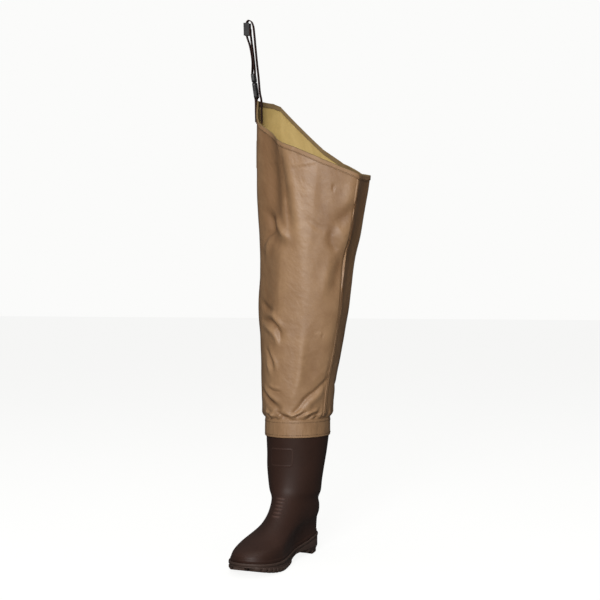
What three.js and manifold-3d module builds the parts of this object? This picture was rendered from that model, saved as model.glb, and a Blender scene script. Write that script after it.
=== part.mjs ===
// Hip wader for the right leg, in millimetres: a moulded rubber boot, a coated nylon leg and a belt strap.
// X points to the toe, Y to the inner side of the leg, Z up. The origin is on the floor under the heel.

import * as THREE from "three";
import { mergeVertices } from "three/addons/utils/BufferGeometryUtils.js";
import Module from "manifold-3d";

const wasm = await Module();
wasm.setup();

// Foot and sole
const soleLength = 306;
const heelSetback = 38; // heel's back to its middle, which is the origin
const ballWidth = 108;
const toeSwing = 9; // how far the toe leans to the inner side
const soleThickness = 21.5; // at the ball, lugs included
const heelLift = 19; // the heel seat above the ball
const heelLength = 70;
const archHeight = 14;
const toeSpring = 14;
const lugDepth = 5;
const lugPitch = 13;
const heelLugPitch = 17;
const sideRib = 1; // how far the lugs stand out of the sole's side
const lugTaper = 3.5; // how far their lower edge draws in
const heelTaper = 4;
const ribHeight = 9; // how far they climb it
const soleLip = 1.2;
const soleLipHeight = 4.5;
const sideGroove = 1.6;

// Rubber boot
const instepHeight = 100; // above the sole
const bootHeight = 276;
const bootFront = 91; // reach of the boot's top from the origin
const bootBack = 56;
const bootWidth = 123;
const bootShift = 7.5; // the boot top's middle towards the inner side
const bootWall = 2.8;
const randHeight = 6;
const randStep = 1.2;
const upperInset = 2.4; // the upper stands this far inside the sole's edge
const flexRibs = 6; // moulded across the front of the ankle
const flexRibPitch = 6;
const flexRibBottom = 92;
const flexRibLength = 27;
const flexRibWidth = 4;
const flexRibRise = 1.2;
const insoleThickness = 4;

// Nylon leg
const shaftWall = 1;
const cuffHeight = 35;
const cuffRise = 1; // the cuff's top above the boot's
const cuffTuck = 4; // the leg's lower edge above the cuff's
const cuffWall = 1;
const cuffBulge = 5; // how far the gathered cloth swells over the cuff
const thighFront = 101;
const thighBack = 92;
const thighInner = 158;
const thighOuter = 86;
const peakHeight = 925;
const crotchHeight = 761;
const bindingDepth = 9;
const bindingWall = 1;
const seamWidth = 9;
const seamWall = 0.9;
const labelWidth = 38;
const labelHeight = 56;
const labelDrop = 84; // the label's top below the collar's peak
const labelWall = 0.8;

// Belt strap and side-release buckle
const strapAngle = 280; // place on the collar, in degrees from the front towards the inner side
const strapLean = 9; // degrees that the strap leans forward
const strapTwist = 6; // degrees that it turns to the front
const webbingWidth = 25;
const webbingThickness = 1.5;
const strapRise = 163;
const loopDepth = 19;
const sewnLength = 46;
const buckleLean = 7;
const buckleRise = 8.5; // its lower bar above the collar's peak
const buckleWidth = 33;
const buckleThickness = 7;
const femaleLength = 33;
const maleLength = 18;
const slotHeight = 5;
const barSize = 3.6;
const sliderHeight = 25;
const sliderWidth = 31;

const clearance = 0.3; // between pieces that lie on each other
const looseFit = 0.5; // between strap layers, and between a flat strap and a curved wall

// Resolution
const around = 44;
const soleAround = 56;

const heelBack = -heelSetback;
const toeFront = soleLength - heelSetback;
const heelBreast = heelLength - heelSetback;
const cuffTop = bootHeight + cuffRise;
const cuffBottom = cuffTop - cuffHeight;
const shaftTuck = cuffBottom + cuffTuck;

// Outline of the foot from above: its half width and its middle, along the sole from heel to toe
const outlineRows = [
  { at: 0, half: 0, swing: 0.15 },
  { at: 0.02, half: 0.39, swing: 0.15 },
  { at: 0.062, half: 0.62, swing: 0.15 },
  { at: 0.124, half: 0.72, swing: 0.15 },
  { at: 0.23, half: 0.735, swing: 0.05 },
  { at: 0.33, half: 0.71, swing: -0.15 },
  { at: 0.43, half: 0.74, swing: -0.35 },
  { at: 0.54, half: 0.86, swing: -0.35 },
  { at: 0.65, half: 0.97, swing: -0.15 },
  { at: 0.735, half: 1, swing: 0.15 },
  { at: 0.82, half: 0.935, swing: 0.5 },
  { at: 0.885, half: 0.82, swing: 0.75 },
  { at: 0.94, half: 0.65, swing: 0.9 },
  { at: 0.98, half: 0.4, swing: 1 },
  { at: 1, half: 0, swing: 1 },
];

// Height of the sole's top edge above the ball, along the sole
const soleTopRows = [
  { at: 0, rise: 1.08 },
  { at: 0.157, rise: 0.82 },
  { at: 0.24, rise: 0.57 },
  { at: 0.42, rise: 0.2 },
  { at: 0.6, rise: 0.04 },
  { at: 0.75, rise: 0 },
  { at: 0.88, rise: 0.08 },
  { at: 1, rise: 0.28 },
];

// Height of the tread in front of the heel: shares of the arch's height and of the toe spring
const treadRows = [
  { at: 0, arch: 1, spring: 0, lug: 0 },
  { at: 0.23, arch: 0.96, spring: 0, lug: 0 },
  { at: 0.37, arch: 0.3, spring: 0, lug: 1 },
  { at: 0.43, arch: 0, spring: 0, lug: 1 },
  { at: 0.6, arch: 0, spring: 0, lug: 1 },
  { at: 0.68, arch: 0, spring: 0.07, lug: 1 },
  { at: 0.76, arch: 0, spring: 0.2, lug: 1 },
  { at: 0.84, arch: 0, spring: 0.39, lug: 1 },
  { at: 0.92, arch: 0, spring: 0.67, lug: 1 },
  { at: 1, arch: 0, spring: 1, lug: 1 },
];

// Rows of a table as objects: a line of column names, then each row's numbers in that order
function tableOf(names, rows) {
  return rows.map((row) => Object.fromEntries(names.split(" ").map((name, i) => [name, row[i]])));
}

// Rings of the boot's foot, from the sole up. front and back are shares of the toe's and heel's reach, frontUp
// and backUp of the instep's height above the sole, half of half the ball's width, shift of the boot top's
// shift. oval turns the foot's outline into an egg, egg makes that wider behind, and follow keeps the ring
// parallel to the sole.
const footRings = tableOf("front frontUp back backUp half shift oval egg follow", [
  [0.992, 0, 0.97, 0, 0.985, 0, 0, 0, 1],
  [0.995, 0.075, 1.02, 0.09, 0.99, 0, 0, 0, 1],
  [0.98, 0.145, 1.08, 0.2, 0.965, 0.1, 0.06, 0.1, 0.8],
  [0.935, 0.215, 1.1, 0.27, 0.92, 0.3, 0.2, 0.2, 0.5],
  [0.855, 0.28, 1.1, 0.33, 0.87, 0.5, 0.38, 0.3, 0.2],
  [0.755, 0.355, 1.09, 0.38, 0.835, 0.7, 0.54, 0.36, 0],
  [0.65, 0.46, 1.07, 0.44, 0.82, 0.85, 0.66, 0.39, 0],
  [0.545, 0.605, 1.045, 0.51, 0.81, 0.9, 0.76, 0.37, 0],
  [0.452, 0.77, 1.02, 0.59, 0.815, 0.8, 0.86, 0.3, 0],
  [0.377, 0.95, 0.98, 0.69, 0.83, 0.6, 0.95, 0.19, 0],
]);

// Rings of the boot's shaft: shares of the reach, width and height of its top
const calfRings = [
  { front: 0.965, frontUp: 0.49, back: 0.655, backUp: 0.455, half: 0.81, shift: 0.45, egg: 0.1 },
  { front: 0.93, frontUp: 0.565, back: 0.71, backUp: 0.535, half: 0.865, shift: 0.4, egg: 0.04 },
  { front: 0.925, frontUp: 0.655, back: 0.81, backUp: 0.64, half: 0.92, shift: 0.5, egg: 0 },
  { front: 0.945, frontUp: 0.75, back: 0.905, backUp: 0.745, half: 0.955, shift: 0.75, egg: 0 },
  { front: 0.985, frontUp: 0.85, back: 0.975, backUp: 0.85, half: 0.99, shift: 0.95, egg: 0 },
  { front: 1, frontUp: 0.9, back: 1, backUp: 0.9, half: 1, shift: 1, egg: 0 },
  { front: 1, frontUp: 1, back: 1, backUp: 1, half: 1, shift: 1, egg: 0 },
];

// How far each side of the leg has flared from the boot's top to the thigh, by height above the cuff
const flareRows = [
  { at: 0, front: 0, back: 0, inner: 0, outer: 0 },
  { at: 0.04, front: 0.1, back: 0.06, inner: 0.03, outer: 0.08 },
  { at: 0.115, front: 0.3, back: 0.15, inner: 0.11, outer: 0.22 },
  { at: 0.19, front: 0.42, back: 0.27, inner: 0.24, outer: 0.36 },
  { at: 0.265, front: 0.5, back: 0.39, inner: 0.35, outer: 0.46 },
  { at: 0.34, front: 0.6, back: 0.5, inner: 0.45, outer: 0.54 },
  { at: 0.42, front: 0.7, back: 0.6, inner: 0.52, outer: 0.53 },
  { at: 0.495, front: 0.78, back: 0.68, inner: 0.6, outer: 0.56 },
  { at: 0.57, front: 0.84, back: 0.77, inner: 0.75, outer: 0.69 },
  { at: 0.645, front: 0.9, back: 0.86, inner: 0.86, outer: 0.85 },
  { at: 0.76, front: 1, back: 0.97, inner: 1, outer: 0.98 },
  { at: 1, front: 1, back: 1, inner: 0.97, outer: 1 },
];

// The collar's edge round the leg: how far it has dropped from the peak to the crotch
const collarRows = [
  { at: 0, drop: 0.67 },
  { at: 29, drop: 0.83 },
  { at: 49, drop: 0.92 },
  { at: 68, drop: 1 },
  { at: 100, drop: 0.99 },
  { at: 135, drop: 0.93 },
  { at: 167, drop: 0.77 },
  { at: 188, drop: 0.58 },
  { at: 211, drop: 0.31 },
  { at: 236, drop: 0.03 },
  { at: 246, drop: 0 },
  { at: 270, drop: 0 },
  { at: 283, drop: 0.01 },
  { at: 290, drop: 0.17 },
  { at: 304, drop: 0.31 },
  { at: 324, drop: 0.45 },
  { at: 348, drop: 0.61 },
  { at: 360, drop: 0.67 },
];

// The belt webbing from the collar to the top of its loop: shares of the loop's depth and height
const loopRows = [
  { out: -0.22, up: 0.1 },
  { out: -0.1, up: 0.3 },
  { out: 0.02, up: 0.45 },
  { out: 0.16, up: 0.66 },
  { out: 0.27, up: 0.84 },
  { out: 0.36, up: 0.93 },
  { out: 0.56, up: 0.985 },
  { out: 0.8, up: 1 },
  { out: 1, up: 0.98 },
];

// Creases down the leg, in degrees from the front, with their width and their height as a share of the radius
const creaseRows = [
  { name: "front", at: -14, width: 17, height: 0.035 },
  { name: "inner seam", at: 68, width: 15, height: 0.045 },
  { name: "back", at: 168, width: 24, height: 0.03 },
];
const creaseFade = 0.25; // the creases start this share of the way up

// Places up the leg where its wall bends
const legShares = [0, 0.08, 0.18, 0.3, 0.43, 0.57, 0.7, 0.84, 1];
const foldHeight = cuffTop + 0.5;

// A number that changes smoothly with place, from one column of a table
function column(rows, name, key = "at", Interpolant = THREE.CubicInterpolant) {
  const places = rows.map((row) => row[key]);
  const spline = new Interpolant(places, rows.map((row) => row[name]), 1);
  return (place) => spline.evaluate(THREE.MathUtils.clamp(place, places[0], places.at(-1)))[0];
}

const mix = THREE.MathUtils.lerp;
const degrees = THREE.MathUtils.degToRad;

// Joins rings of equal count into one skin: each ring runs anticlockwise seen from above
function skin(rings, closed) {
  const count = rings[0].length;
  const index = [];
  const bands = closed ? rings.length : rings.length - 1;
  for (let r = 0; r < bands; r++) {
    const low = r * count;
    const high = ((r + 1) % rings.length) * count;
    for (let i = 0; i < count; i++) {
      const j = (i + 1) % count;
      index.push(low + i, low + j, high + j, low + i, high + j, high + i);
    }
  }
  return index;
}

// Closes a ring with strips between the points that face each other, given as pairs
function cap(pairs, start, up) {
  const index = [];
  for (let k = 0; k + 1 < pairs.length; k++) {
    const [a, d] = pairs[k];
    const [b, c] = pairs[k + 1];
    if (b !== c || a !== d) {
      if (b !== c) index.push([a, b, c]);
      if (a !== d) index.push([a, c, d]);
    }
  }
  return index.flatMap(([a, b, c]) => (up ? [a, b, c] : [a, c, b])).map((i) => i + start);
}

function geometryOf(rings, index) {
  const geometry = new THREE.BufferGeometry().setFromPoints(rings.flat());
  geometry.setIndex(index);
  return geometry;
}

// A hollow wall: rings up the outside and down the inside, closed on itself
function wallSolid(rings) {
  return geometryOf(rings, skin(rings, true));
}

// A solid stack of rings, from the lowest up, with its two ends closed
function stackSolid(rings, pairs) {
  const top = (rings.length - 1) * rings[0].length;
  return geometryOf(rings, [...skin(rings, false), ...cap(pairs, 0, false), ...cap(pairs, top, true)]);
}

// A ring's points that face each other across the foot, from toe to heel
function acrossPairs(count) {
  return Array.from({ length: count / 2 + 1 }, (_, i) => [i, (count - i) % count]);
}

function toManifold(geometry) {
  const bare = geometry.clone();
  bare.deleteAttribute("normal");
  bare.deleteAttribute("uv");
  const merged = mergeVertices(bare, 1e-4);
  return new wasm.Manifold(
    new wasm.Mesh({
      numProp: 3,
      vertProperties: new Float32Array(merged.attributes.position.array),
      triVerts: new Uint32Array(merged.index.array),
    }),
  );
}

function fromManifold(solid) {
  const mesh = solid.getMesh();
  const geometry = new THREE.BufferGeometry();
  geometry.setAttribute("position", new THREE.Float32BufferAttribute(mesh.vertProperties, 3));
  geometry.setIndex([...mesh.triVerts]);
  return geometry;
}

function box(sizeX, sizeY, sizeZ, x, y, z, turn = 0) {
  return new THREE.BoxGeometry(sizeX, sizeY, sizeZ).rotateZ(turn).translate(x, y, z);
}

function joined(geometries) {
  return geometries.map(toManifold).reduce((all, next) => all.add(next));
}

// The foot's outline. Round ends need the table read against an angle, 0 at the toe and 1 at the heel.
const outlineAngle = (share) => Math.acos(THREE.MathUtils.clamp(2 * share - 1, -1, 1)) / Math.PI;
const outlineByAngle = outlineRows
  .map((row) => ({ ...row, angle: outlineAngle(row.at) }))
  .sort((a, b) => a.angle - b.angle);
const outlineHalf = column(outlineByAngle, "half", "angle");
const outlineSwing = column(outlineByAngle, "swing", "angle");
const soleTopRise = column(soleTopRows, "rise");

const soleShare = (x) => THREE.MathUtils.clamp((x - heelBack) / soleLength, 0, 1);
const soleTop = (x) => soleThickness + heelLift * soleTopRise(soleShare(x));

// A point of the sole's outline, where turn is the angle round the foot from the toe to the inner side
function outlinePoint(turn) {
  const share = (1 + Math.cos(turn)) / 2;
  const angle = outlineAngle(share);
  const half = (Math.sign(Math.sin(turn)) * outlineHalf(angle) * ballWidth) / 2;
  return new THREE.Vector2(heelBack + share * soleLength, outlineSwing(angle) * toeSwing + half);
}

// The same point, moved square to the outline
function outsetPoint(turn, outset) {
  const step = 0.02;
  const along = outlinePoint(turn + step).sub(outlinePoint(turn - step)).normalize();
  return outlinePoint(turn).add(new THREE.Vector2(along.y, -along.x).multiplyScalar(outset));
}

function soleRing(outset, heightAt, count = soleAround) {
  return Array.from({ length: count }, (_, i) => {
    const point = outsetPoint((2 * Math.PI * i) / count, outset);
    return new THREE.Vector3(point.x, point.y, heightAt(point.x));
  });
}

// Tread heights in front of the heel's breast
const forefoot = (x) => THREE.MathUtils.clamp((x - heelBreast) / (toeFront - heelBreast), 0, 1);
const treadArch = column(treadRows, "arch", "at", THREE.LinearInterpolant);
const treadSpring = column(treadRows, "spring", "at", THREE.LinearInterpolant);
const treadLug = column(treadRows, "lug", "at", THREE.LinearInterpolant);
const treadHeight = (x) => treadArch(forefoot(x)) * archHeight + treadSpring(forefoot(x)) * toeSpring;
const plateBottom = (x) => treadHeight(x) + treadLug(forefoot(x)) * lugDepth;

// The plate of the sole, with a lip and a groove round its side
function solePlate() {
  const belowTop = (drop) => (x) => soleTop(x) - drop;
  const rings = [
    soleRing(-0.6, plateBottom),
    soleRing(0, (x) => plateBottom(x) + 0.8),
    soleRing(0, belowTop(soleLipHeight + sideGroove + 0.6)),
    soleRing(-sideGroove / 2, belowTop(soleLipHeight + sideGroove)),
    soleRing(-sideGroove / 2, belowTop(soleLipHeight + 0.6)),
    soleRing(soleLip, belowTop(soleLipHeight)),
    soleRing(soleLip, belowTop(0.8)),
    soleRing(soleLip - 0.8, belowTop(0)),
  ];
  return stackSolid(rings, acrossPairs(soleAround));
}

function heelBlock() {
  const rings = [soleRing(-heelTaper, () => lugDepth), soleRing(0, (x) => plateBottom(x) + 1)];
  const block = toManifold(stackSolid(rings, acrossPairs(soleAround)));
  return block.subtract(beyondHeel());
}

// Everything in front of the heel's breast
function beyondHeel() {
  return toManifold(box(2 * soleLength, 2 * ballWidth, bootHeight, heelBreast + soleLength, 0, 0));
}

// Bars set in a shallow V, edge bars and middle blocks in turn, cut to the foot's outline
function lugBars(from, pitch, count, edgeInner) {
  const bars = [];
  const tall = 4 * ribHeight;
  const barLength = ballWidth / 2;
  const barWidth = 0.62 * pitch;
  for (let i = 0; i < count; i++) {
    const x = from + i * pitch;
    for (const side of [-1, 1]) {
      bars.push(box(barWidth, barLength, tall, x, side * (edgeInner + barLength / 2), 0, side * degrees(-12)));
    }
    bars.push(box(0.72 * pitch, edgeInner * 1.25, tall, x + pitch / 2, 0, 0));
  }
  return joined(bars);
}

// Lugs with a leaning side, from the floor up over the sole's side
function tread(bottomAt, outset, taper, bars) {
  const top = (x) => Math.max(plateBottom(x), lugDepth) + ribHeight - lugDepth;
  const rings = [
    soleRing(outset - taper, bottomAt),
    soleRing(outset, (x) => bottomAt(x) + 1.2 * taper),
    soleRing(outset, top),
    soleRing(outset - 2, (x) => top(x) + 1),
  ];
  return toManifold(stackSolid(rings, acrossPairs(soleAround))).intersect(bars);
}

function outsole() {
  const frontLugs = Math.floor(((toeFront - heelBreast) * 0.62) / lugPitch);
  const frontFrom = toeFront - 0.6 * lugPitch - (frontLugs - 1) * lugPitch;
  const heelLugs = Math.floor((heelLength - heelLugPitch / 4) / heelLugPitch);
  const heelFrom = -((heelLugs - 1) / 2) * heelLugPitch - heelLugPitch / 2;
  const frontBars = lugBars(frontFrom, lugPitch, frontLugs, ballWidth / 6);
  const heelBars = lugBars(heelFrom, heelLugPitch, heelLugs, ballWidth / 8);
  const front = tread(treadHeight, sideRib, lugTaper, frontBars);
  const heel = tread(() => 0, 1 - heelTaper, 1.5, heelBars).subtract(beyondHeel());
  return fromManifold(toManifold(solePlate()).add(heelBlock()).add(front).add(heel));
}

// The boot's rings in millimetres, foot first
const bootLevels = [
  ...footRings.map((ring) => {
    const front = ring.front * toeFront - upperInset;
    const back = -ring.back * heelSetback + upperInset;
    return {
      ...ring,
      front,
      frontUp: soleTop(front) + clearance + ring.frontUp * instepHeight,
      back,
      backUp: soleTop(back) + clearance + ring.backUp * instepHeight,
      half: (ring.half * ballWidth) / 2 - upperInset,
      shift: ring.shift * bootShift,
    };
  }),
  ...calfRings.map((ring) => ({
    ...ring,
    front: ring.front * bootFront,
    frontUp: ring.frontUp * bootHeight,
    back: -ring.back * bootBack,
    backUp: ring.backUp * bootHeight,
    half: (ring.half * bootWidth) / 2,
    shift: ring.shift * bootShift,
    oval: 1,
    follow: 0,
  })),
].map((level, at) => ({ ...level, at }));
const lastLevel = bootLevels.length - 1;
const boot = Object.fromEntries(
  ["front", "frontUp", "back", "backUp", "half", "shift", "oval", "egg", "follow"].map((name) => [
    name,
    column(bootLevels, name),
  ]),
);

// A point of the boot's outside: level counts the rings, turn is the angle from the toe to the inner side
function bootPoint(level, turn) {
  const front = boot.front(level);
  const back = boot.back(level);
  const share = (1 + Math.cos(turn)) / 2;
  const x = mix(back, front, share);
  const angle = outlineAngle(share);
  const foot = Math.sign(Math.sin(turn)) * outlineHalf(angle);
  const egg = Math.sin(turn) * (1 - boot.egg(level) * Math.cos(turn));
  const swing = outlineSwing(angle) * toeSwing * (1 - boot.oval(level) ** 3);
  const y = boot.shift(level) + swing + boot.half(level) * mix(foot, egg, boot.oval(level));
  const chord = mix(soleTop(back), soleTop(front), share);
  const z = mix(boot.backUp(level), boot.frontUp(level), share) + boot.follow(level) * (soleTop(x) - chord);
  return new THREE.Vector3(x, y, z);
}

// A point moved square to a surface, which is a function of height and turn. flat keeps it at its own height.
function offsetPoint(surface, level, turn, distance, flat, range) {
  const step = 0.02;
  const low = Math.max(level - step, range[0]);
  const high = Math.min(level + step, range[1]);
  const up = surface(high, turn).sub(surface(low, turn));
  const along = surface(level, turn + step).sub(surface(level, turn - step));
  const normal = along.cross(up);
  if (flat) normal.z = 0;
  return surface(level, turn).add(normal.normalize().multiplyScalar(distance));
}

function turns(count) {
  return Array.from({ length: count }, (_, i) => (2 * Math.PI * i) / count);
}

function bootRing(level, outset) {
  const flat = level === 0 || level > lastLevel - 1.5;
  return turns(around).map((turn) => offsetPoint(bootPoint, level, turn, outset, flat, [0, lastLevel]));
}

// The ring whose front is at a height
function levelOfFront(height) {
  let level = 0;
  while (boot.frontUp(level) < height) level += 0.01;
  return level;
}

// A moulded ridge across the ankle's front, round and tapered to its ends
function flexRib(height) {
  const [low, middle, high] = [-0.5, 0, 0.5].map((share) => levelOfFront(height + share * flexRibWidth));
  const reach = flexRibLength / 2 / boot.half(middle);
  const steps = 4;
  const rings = Array.from({ length: steps + 1 }, (_, i) => {
    const share = (2 * i) / steps - 1;
    const turn = share * reach;
    const rise = flexRibRise * (1 - share ** 2) + 0.1;
    const at = (level, distance) => offsetPoint(bootPoint, level, turn, distance, false, [0, lastLevel]);
    return [at(low, -1.4), at(high, -1.4), at(mix(middle, high, 0.4), rise), at(mix(middle, low, 0.4), rise)];
  });
  return toManifold(stackSolid(rings, [[0, 3], [1, 2]]));
}

// The rubber boot: one wall, open at its top and where the sole closes it, with a raised band along the sole
function upper() {
  const randTop = randHeight / (footRings[1].frontUp * instepHeight);
  const outside = [
    bootRing(0, randStep),
    bootRing(randTop * 0.9, randStep),
    bootRing(randTop, 0),
  ];
  const firstStep = 1.6;
  for (let level = firstStep; level < footRings.length; level += 1) outside.push(bootRing(level, 0));
  for (let level = footRings.length; level <= lastLevel; level++) outside.push(bootRing(level, 0));
  const inside = [];
  for (let level = lastLevel; level > 0; level--) inside.push(bootRing(level, -bootWall));
  inside.push(bootRing(0, -bootWall));
  const ribs = Array.from({ length: flexRibs }, (_, i) => flexRib(flexRibBottom + i * flexRibPitch));
  return fromManifold(ribs.reduce((all, rib) => all.add(rib), toManifold(wallSolid([...outside, ...inside]))));
}

// The footbed, fitted to the boot's inside
function insole() {
  const inset = -(bootWall + looseFit);
  const perMillimetre = 1 / (footRings[1].frontUp * instepHeight);
  return stackSolid(
    [
      bootRing(0, inset),
      bootRing((insoleThickness - 1) * perMillimetre, inset),
      bootRing(insoleThickness * perMillimetre, inset - 1),
    ],
    acrossPairs(around),
  );
}

// The leg
const flare = Object.fromEntries(
  ["front", "back", "inner", "outer"].map((name) => [name, column(flareRows, name)]),
);
const collarDrop = column(collarRows, "drop", "at", THREE.LinearInterpolant);
const turnDegrees = (turn) => THREE.MathUtils.euclideanModulo(THREE.MathUtils.radToDeg(turn), 360);
const collarHeight = (turn) => mix(peakHeight, crotchHeight, collarDrop(turnDegrees(turn)));

function crease(turn, share) {
  const fade = THREE.MathUtils.smoothstep(share, 0, creaseFade);
  return creaseRows.reduce((sum, row) => {
    const away = THREE.MathUtils.euclideanModulo(turnDegrees(turn) - row.at + 180, 360) - 180;
    return sum + row.height * fade * (Math.exp(-((away / row.width) ** 2)) - 0.25);
  }, 1);
}

// A point of the leg's outside at a height. Below the cuff's top the leg lies close round the boot.
function legPoint(height, turn) {
  const share = THREE.MathUtils.clamp((height - cuffTop) / (peakHeight - cuffTop), 0, 1);
  const close = clearance + shaftWall;
  const swell = cuffBulge * THREE.MathUtils.smoothstep(share, 0, 0.02) * (1 - share);
  const front = mix(bootFront + close, thighFront, flare.front(share)) + swell;
  const back = mix(bootBack + close, thighBack, flare.back(share)) + swell;
  const inner = mix(bootShift + bootWidth / 2 + close, thighInner, flare.inner(share)) + swell;
  const outer = mix(bootWidth / 2 - bootShift + close, thighOuter, flare.outer(share)) + swell;
  const bulge = crease(turn, share);
  return new THREE.Vector3(
    (front - back) / 2 + ((front + back) / 2) * Math.cos(turn) * bulge,
    (inner - outer) / 2 + ((inner + outer) / 2) * Math.sin(turn) * bulge,
    height,
  );
}

// The leg's outside moved out by a distance, at the same height
function legOffset(height, turn, distance) {
  return offsetPoint(legPoint, height, turn, distance, true, [0, 2 * peakHeight]);
}

function legRing(heightAt, distance) {
  return turns(around).map((turn) => legOffset(heightAt(turn), turn, distance));
}

// A height on the leg, from the fold over the cuff up to the collar's binding
function legHeight(share, turn) {
  return mix(foldHeight + cuffBulge, collarHeight(turn) - bindingDepth, share);
}

// The nylon leg: one wall from inside the cuff up to the slanting collar
function shaft() {
  const wall = (distance) => [
    legRing(() => shaftTuck, distance),
    legRing(() => foldHeight, distance),
    ...legShares.map((share) => legRing((turn) => legHeight(share, turn), distance)),
    legRing(collarHeight, distance),
  ];
  return wallSolid([...wall(0), ...wall(-shaftWall).reverse()]);
}

function cuffBand() {
  const inner = clearance;
  const outer = inner + cuffWall;
  const ring = (height, distance) => legRing(() => height, distance);
  return wallSolid([
    ring(cuffBottom, outer - 0.4),
    ring(cuffBottom + 1, outer),
    ring(cuffTop - 1, outer),
    ring(cuffTop, outer - 0.4),
    ring(cuffTop, inner),
    ring(cuffBottom, inner),
  ]);
}

// Binding tape folded over the collar's edge
function collarBinding() {
  const outer = clearance + bindingWall;
  const inner = -shaftWall - clearance - bindingWall;
  const ring = (up, distance) => legRing((turn) => collarHeight(turn) + up, distance);
  return wallSolid([
    ring(-bindingDepth, outer),
    ring(outer - 0.3, outer),
    ring(outer, (outer + inner) / 2),
    ring(outer - 0.3, inner),
    ring(-bindingDepth, inner),
    ring(-bindingDepth, inner + bindingWall),
    ring(clearance, inner + bindingWall),
    ring(clearance, clearance),
    ring(-bindingDepth, clearance),
  ]);
}

// A patch that lies on the leg: rings across it from the lowest up, each of points at a turn and a height
function legPatch(shares, turnAt, heightAt, width, wall, steps) {
  const rings = shares.map((share) => {
    const middle = turnAt(share);
    const height = heightAt(share, middle);
    const step = 0.02;
    const perRadian = legPoint(height, middle + step).distanceTo(legPoint(height, middle - step)) / (2 * step);
    const turnTo = (side) => middle + (side * width) / perRadian;
    const across = Array.from({ length: steps + 1 }, (_, i) => turnTo(i / steps - 0.5));
    const face = (turn, distance) => legOffset(heightAt(share, turn), turn, distance);
    return [
      ...across.map((turn) => face(turn, looseFit + wall)),
      ...across.toReversed().map((turn) => face(turn, looseFit)),
    ];
  });
  return stackSolid(rings, Array.from({ length: steps + 1 }, (_, i) => [i, 2 * steps + 1 - i]));
}

// The felled inner seam, from the cuff to the binding
function innerSeam() {
  const seam = creaseRows.find((row) => row.name === "inner seam");
  const lean = 9; // degrees that the seam moves back on its way down
  const end = 0.003;
  const shares = [end, ...legShares.slice(1, -1), 1 - end];
  return legPatch(shares, (share) => degrees(seam.at + lean * (1 - share)), legHeight, seamWidth, seamWall, 1);
}

function sideLabel() {
  const top = peakHeight - labelDrop;
  const heightAt = (share) => top - labelHeight * (1 - share);
  return legPatch([0, 0.5, 1], () => degrees(strapAngle), heightAt, labelWidth, labelWall, 4);
}

// The strap's own frame: x out of the leg, y forward along the webbing's width, z up, from the collar's peak
const strapTurn = degrees(strapAngle);
const strapRoot = legPoint(peakHeight, strapTurn);
const strapNormal = legOffset(peakHeight, strapTurn, 1).sub(strapRoot);
const legRadius = ((thighFront + thighBack) / 2) ** 2 / ((thighInner + thighOuter) / 2);
const edgeReach = webbingWidth / 2 + (sewnLength / 2) * Math.sin(degrees(strapLean));
const edgeDip = edgeReach ** 2 / (2 * legRadius); // how far the wall bends away at the webbing's edges
const twistDip = (webbingWidth / 2) * Math.sin(degrees(strapTwist));
const twistLift = (legRadius / 2) * Math.sin(degrees(strapTwist)) ** 2;
const layer = clearance + bindingWall + looseFit + webbingThickness / 2;
const innerSeat = -(shaftWall + clearance + edgeDip + twistDip + layer);
const outerSeat = layer + twistLift;

// A flat ribbon along a path in the strap's x-z plane
function ribbon(points) {
  const steps = 3 * (points.length - 1);
  const path = new THREE.CatmullRomCurve3(points.map((at) => new THREE.Vector3(at.x, 0, at.y)));
  const across = new THREE.Vector3(0, webbingWidth / 2, 0);
  const rings = Array.from({ length: steps + 1 }, (_, i) => {
    const at = path.getPoint(i / steps);
    const normal = path.getTangent(i / steps).cross(across).setLength(webbingThickness / 2);
    const near = at.clone().add(normal);
    const far = at.clone().sub(normal);
    return [near.clone().sub(across), far.clone().sub(across), far.add(across), near.add(across)];
  });
  return stackSolid(rings, [[0, 3], [1, 2]]);
}

// Where the buckle hangs: the middle of its lower bar, and the way it points
const wrapRadius = barSize / 2 + clearance + webbingThickness / 2;
const buckleFoot = new THREE.Vector2(outerSeat, buckleRise);
const bucklePoint = (up) =>
  buckleFoot.clone().add(
    new THREE.Vector2(Math.sin(degrees(buckleLean)), Math.cos(degrees(buckleLean))).multiplyScalar(up),
  );
const buckleLength = femaleLength + clearance + maleLength - 2 * barSize;
const upperBar = bucklePoint(buckleLength);
const sliderMiddle = new THREE.Vector2(0.82 * loopDepth, 0.89 * strapRise);

// Round a bar: points on a circle about its middle, in degrees from the strap's x towards z
function wrap(middle, radius, angles) {
  return angles.map(
    (angle) =>
      new THREE.Vector2(
        middle.x + radius * Math.cos(degrees(angle)),
        middle.y + radius * Math.sin(degrees(angle)),
      ),
  );
}

// The long webbing: sewn inside the collar, up, over and down through the slider, round the buckle's upper
// bar and back up to the slider's middle bar
function beltWebbing() {
  const front = sliderMiddle.x + barSize / 2 + clearance + 1.5 * webbingThickness + looseFit;
  const near = upperBar.x - wrapRadius;
  const far = upperBar.x + wrapRadius;
  const span = sliderMiddle.y - upperBar.y;
  const at = (x, y) => new THREE.Vector2(x, y);
  return ribbon([
    at(innerSeat, -sewnLength),
    at(innerSeat, -sewnLength / 2),
    at(innerSeat, 1),
    ...loopRows.map((row) => at(row.out * loopDepth, row.up * strapRise)),
    at(front, sliderMiddle.y + sliderHeight / 2 - 2),
    at(front, sliderMiddle.y),
    at(front, sliderMiddle.y - sliderHeight / 2),
    at(mix(far, front, 0.3), upperBar.y + 0.62 * span),
    at(mix(near, far, 0.78), upperBar.y + 0.3 * span),
    ...wrap(upperBar, wrapRadius, [20, -30, -80, -130, -180]),
    at(near - 0.1, upperBar.y + 9),
    at(mix(near, sliderMiddle.x - wrapRadius, 0.35), upperBar.y + 0.45 * span),
    at(sliderMiddle.x - wrapRadius - 0.2, sliderMiddle.y - 9),
    ...wrap(sliderMiddle, wrapRadius, [180, 140, 100, 60, 30]),
  ]);
}

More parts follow.
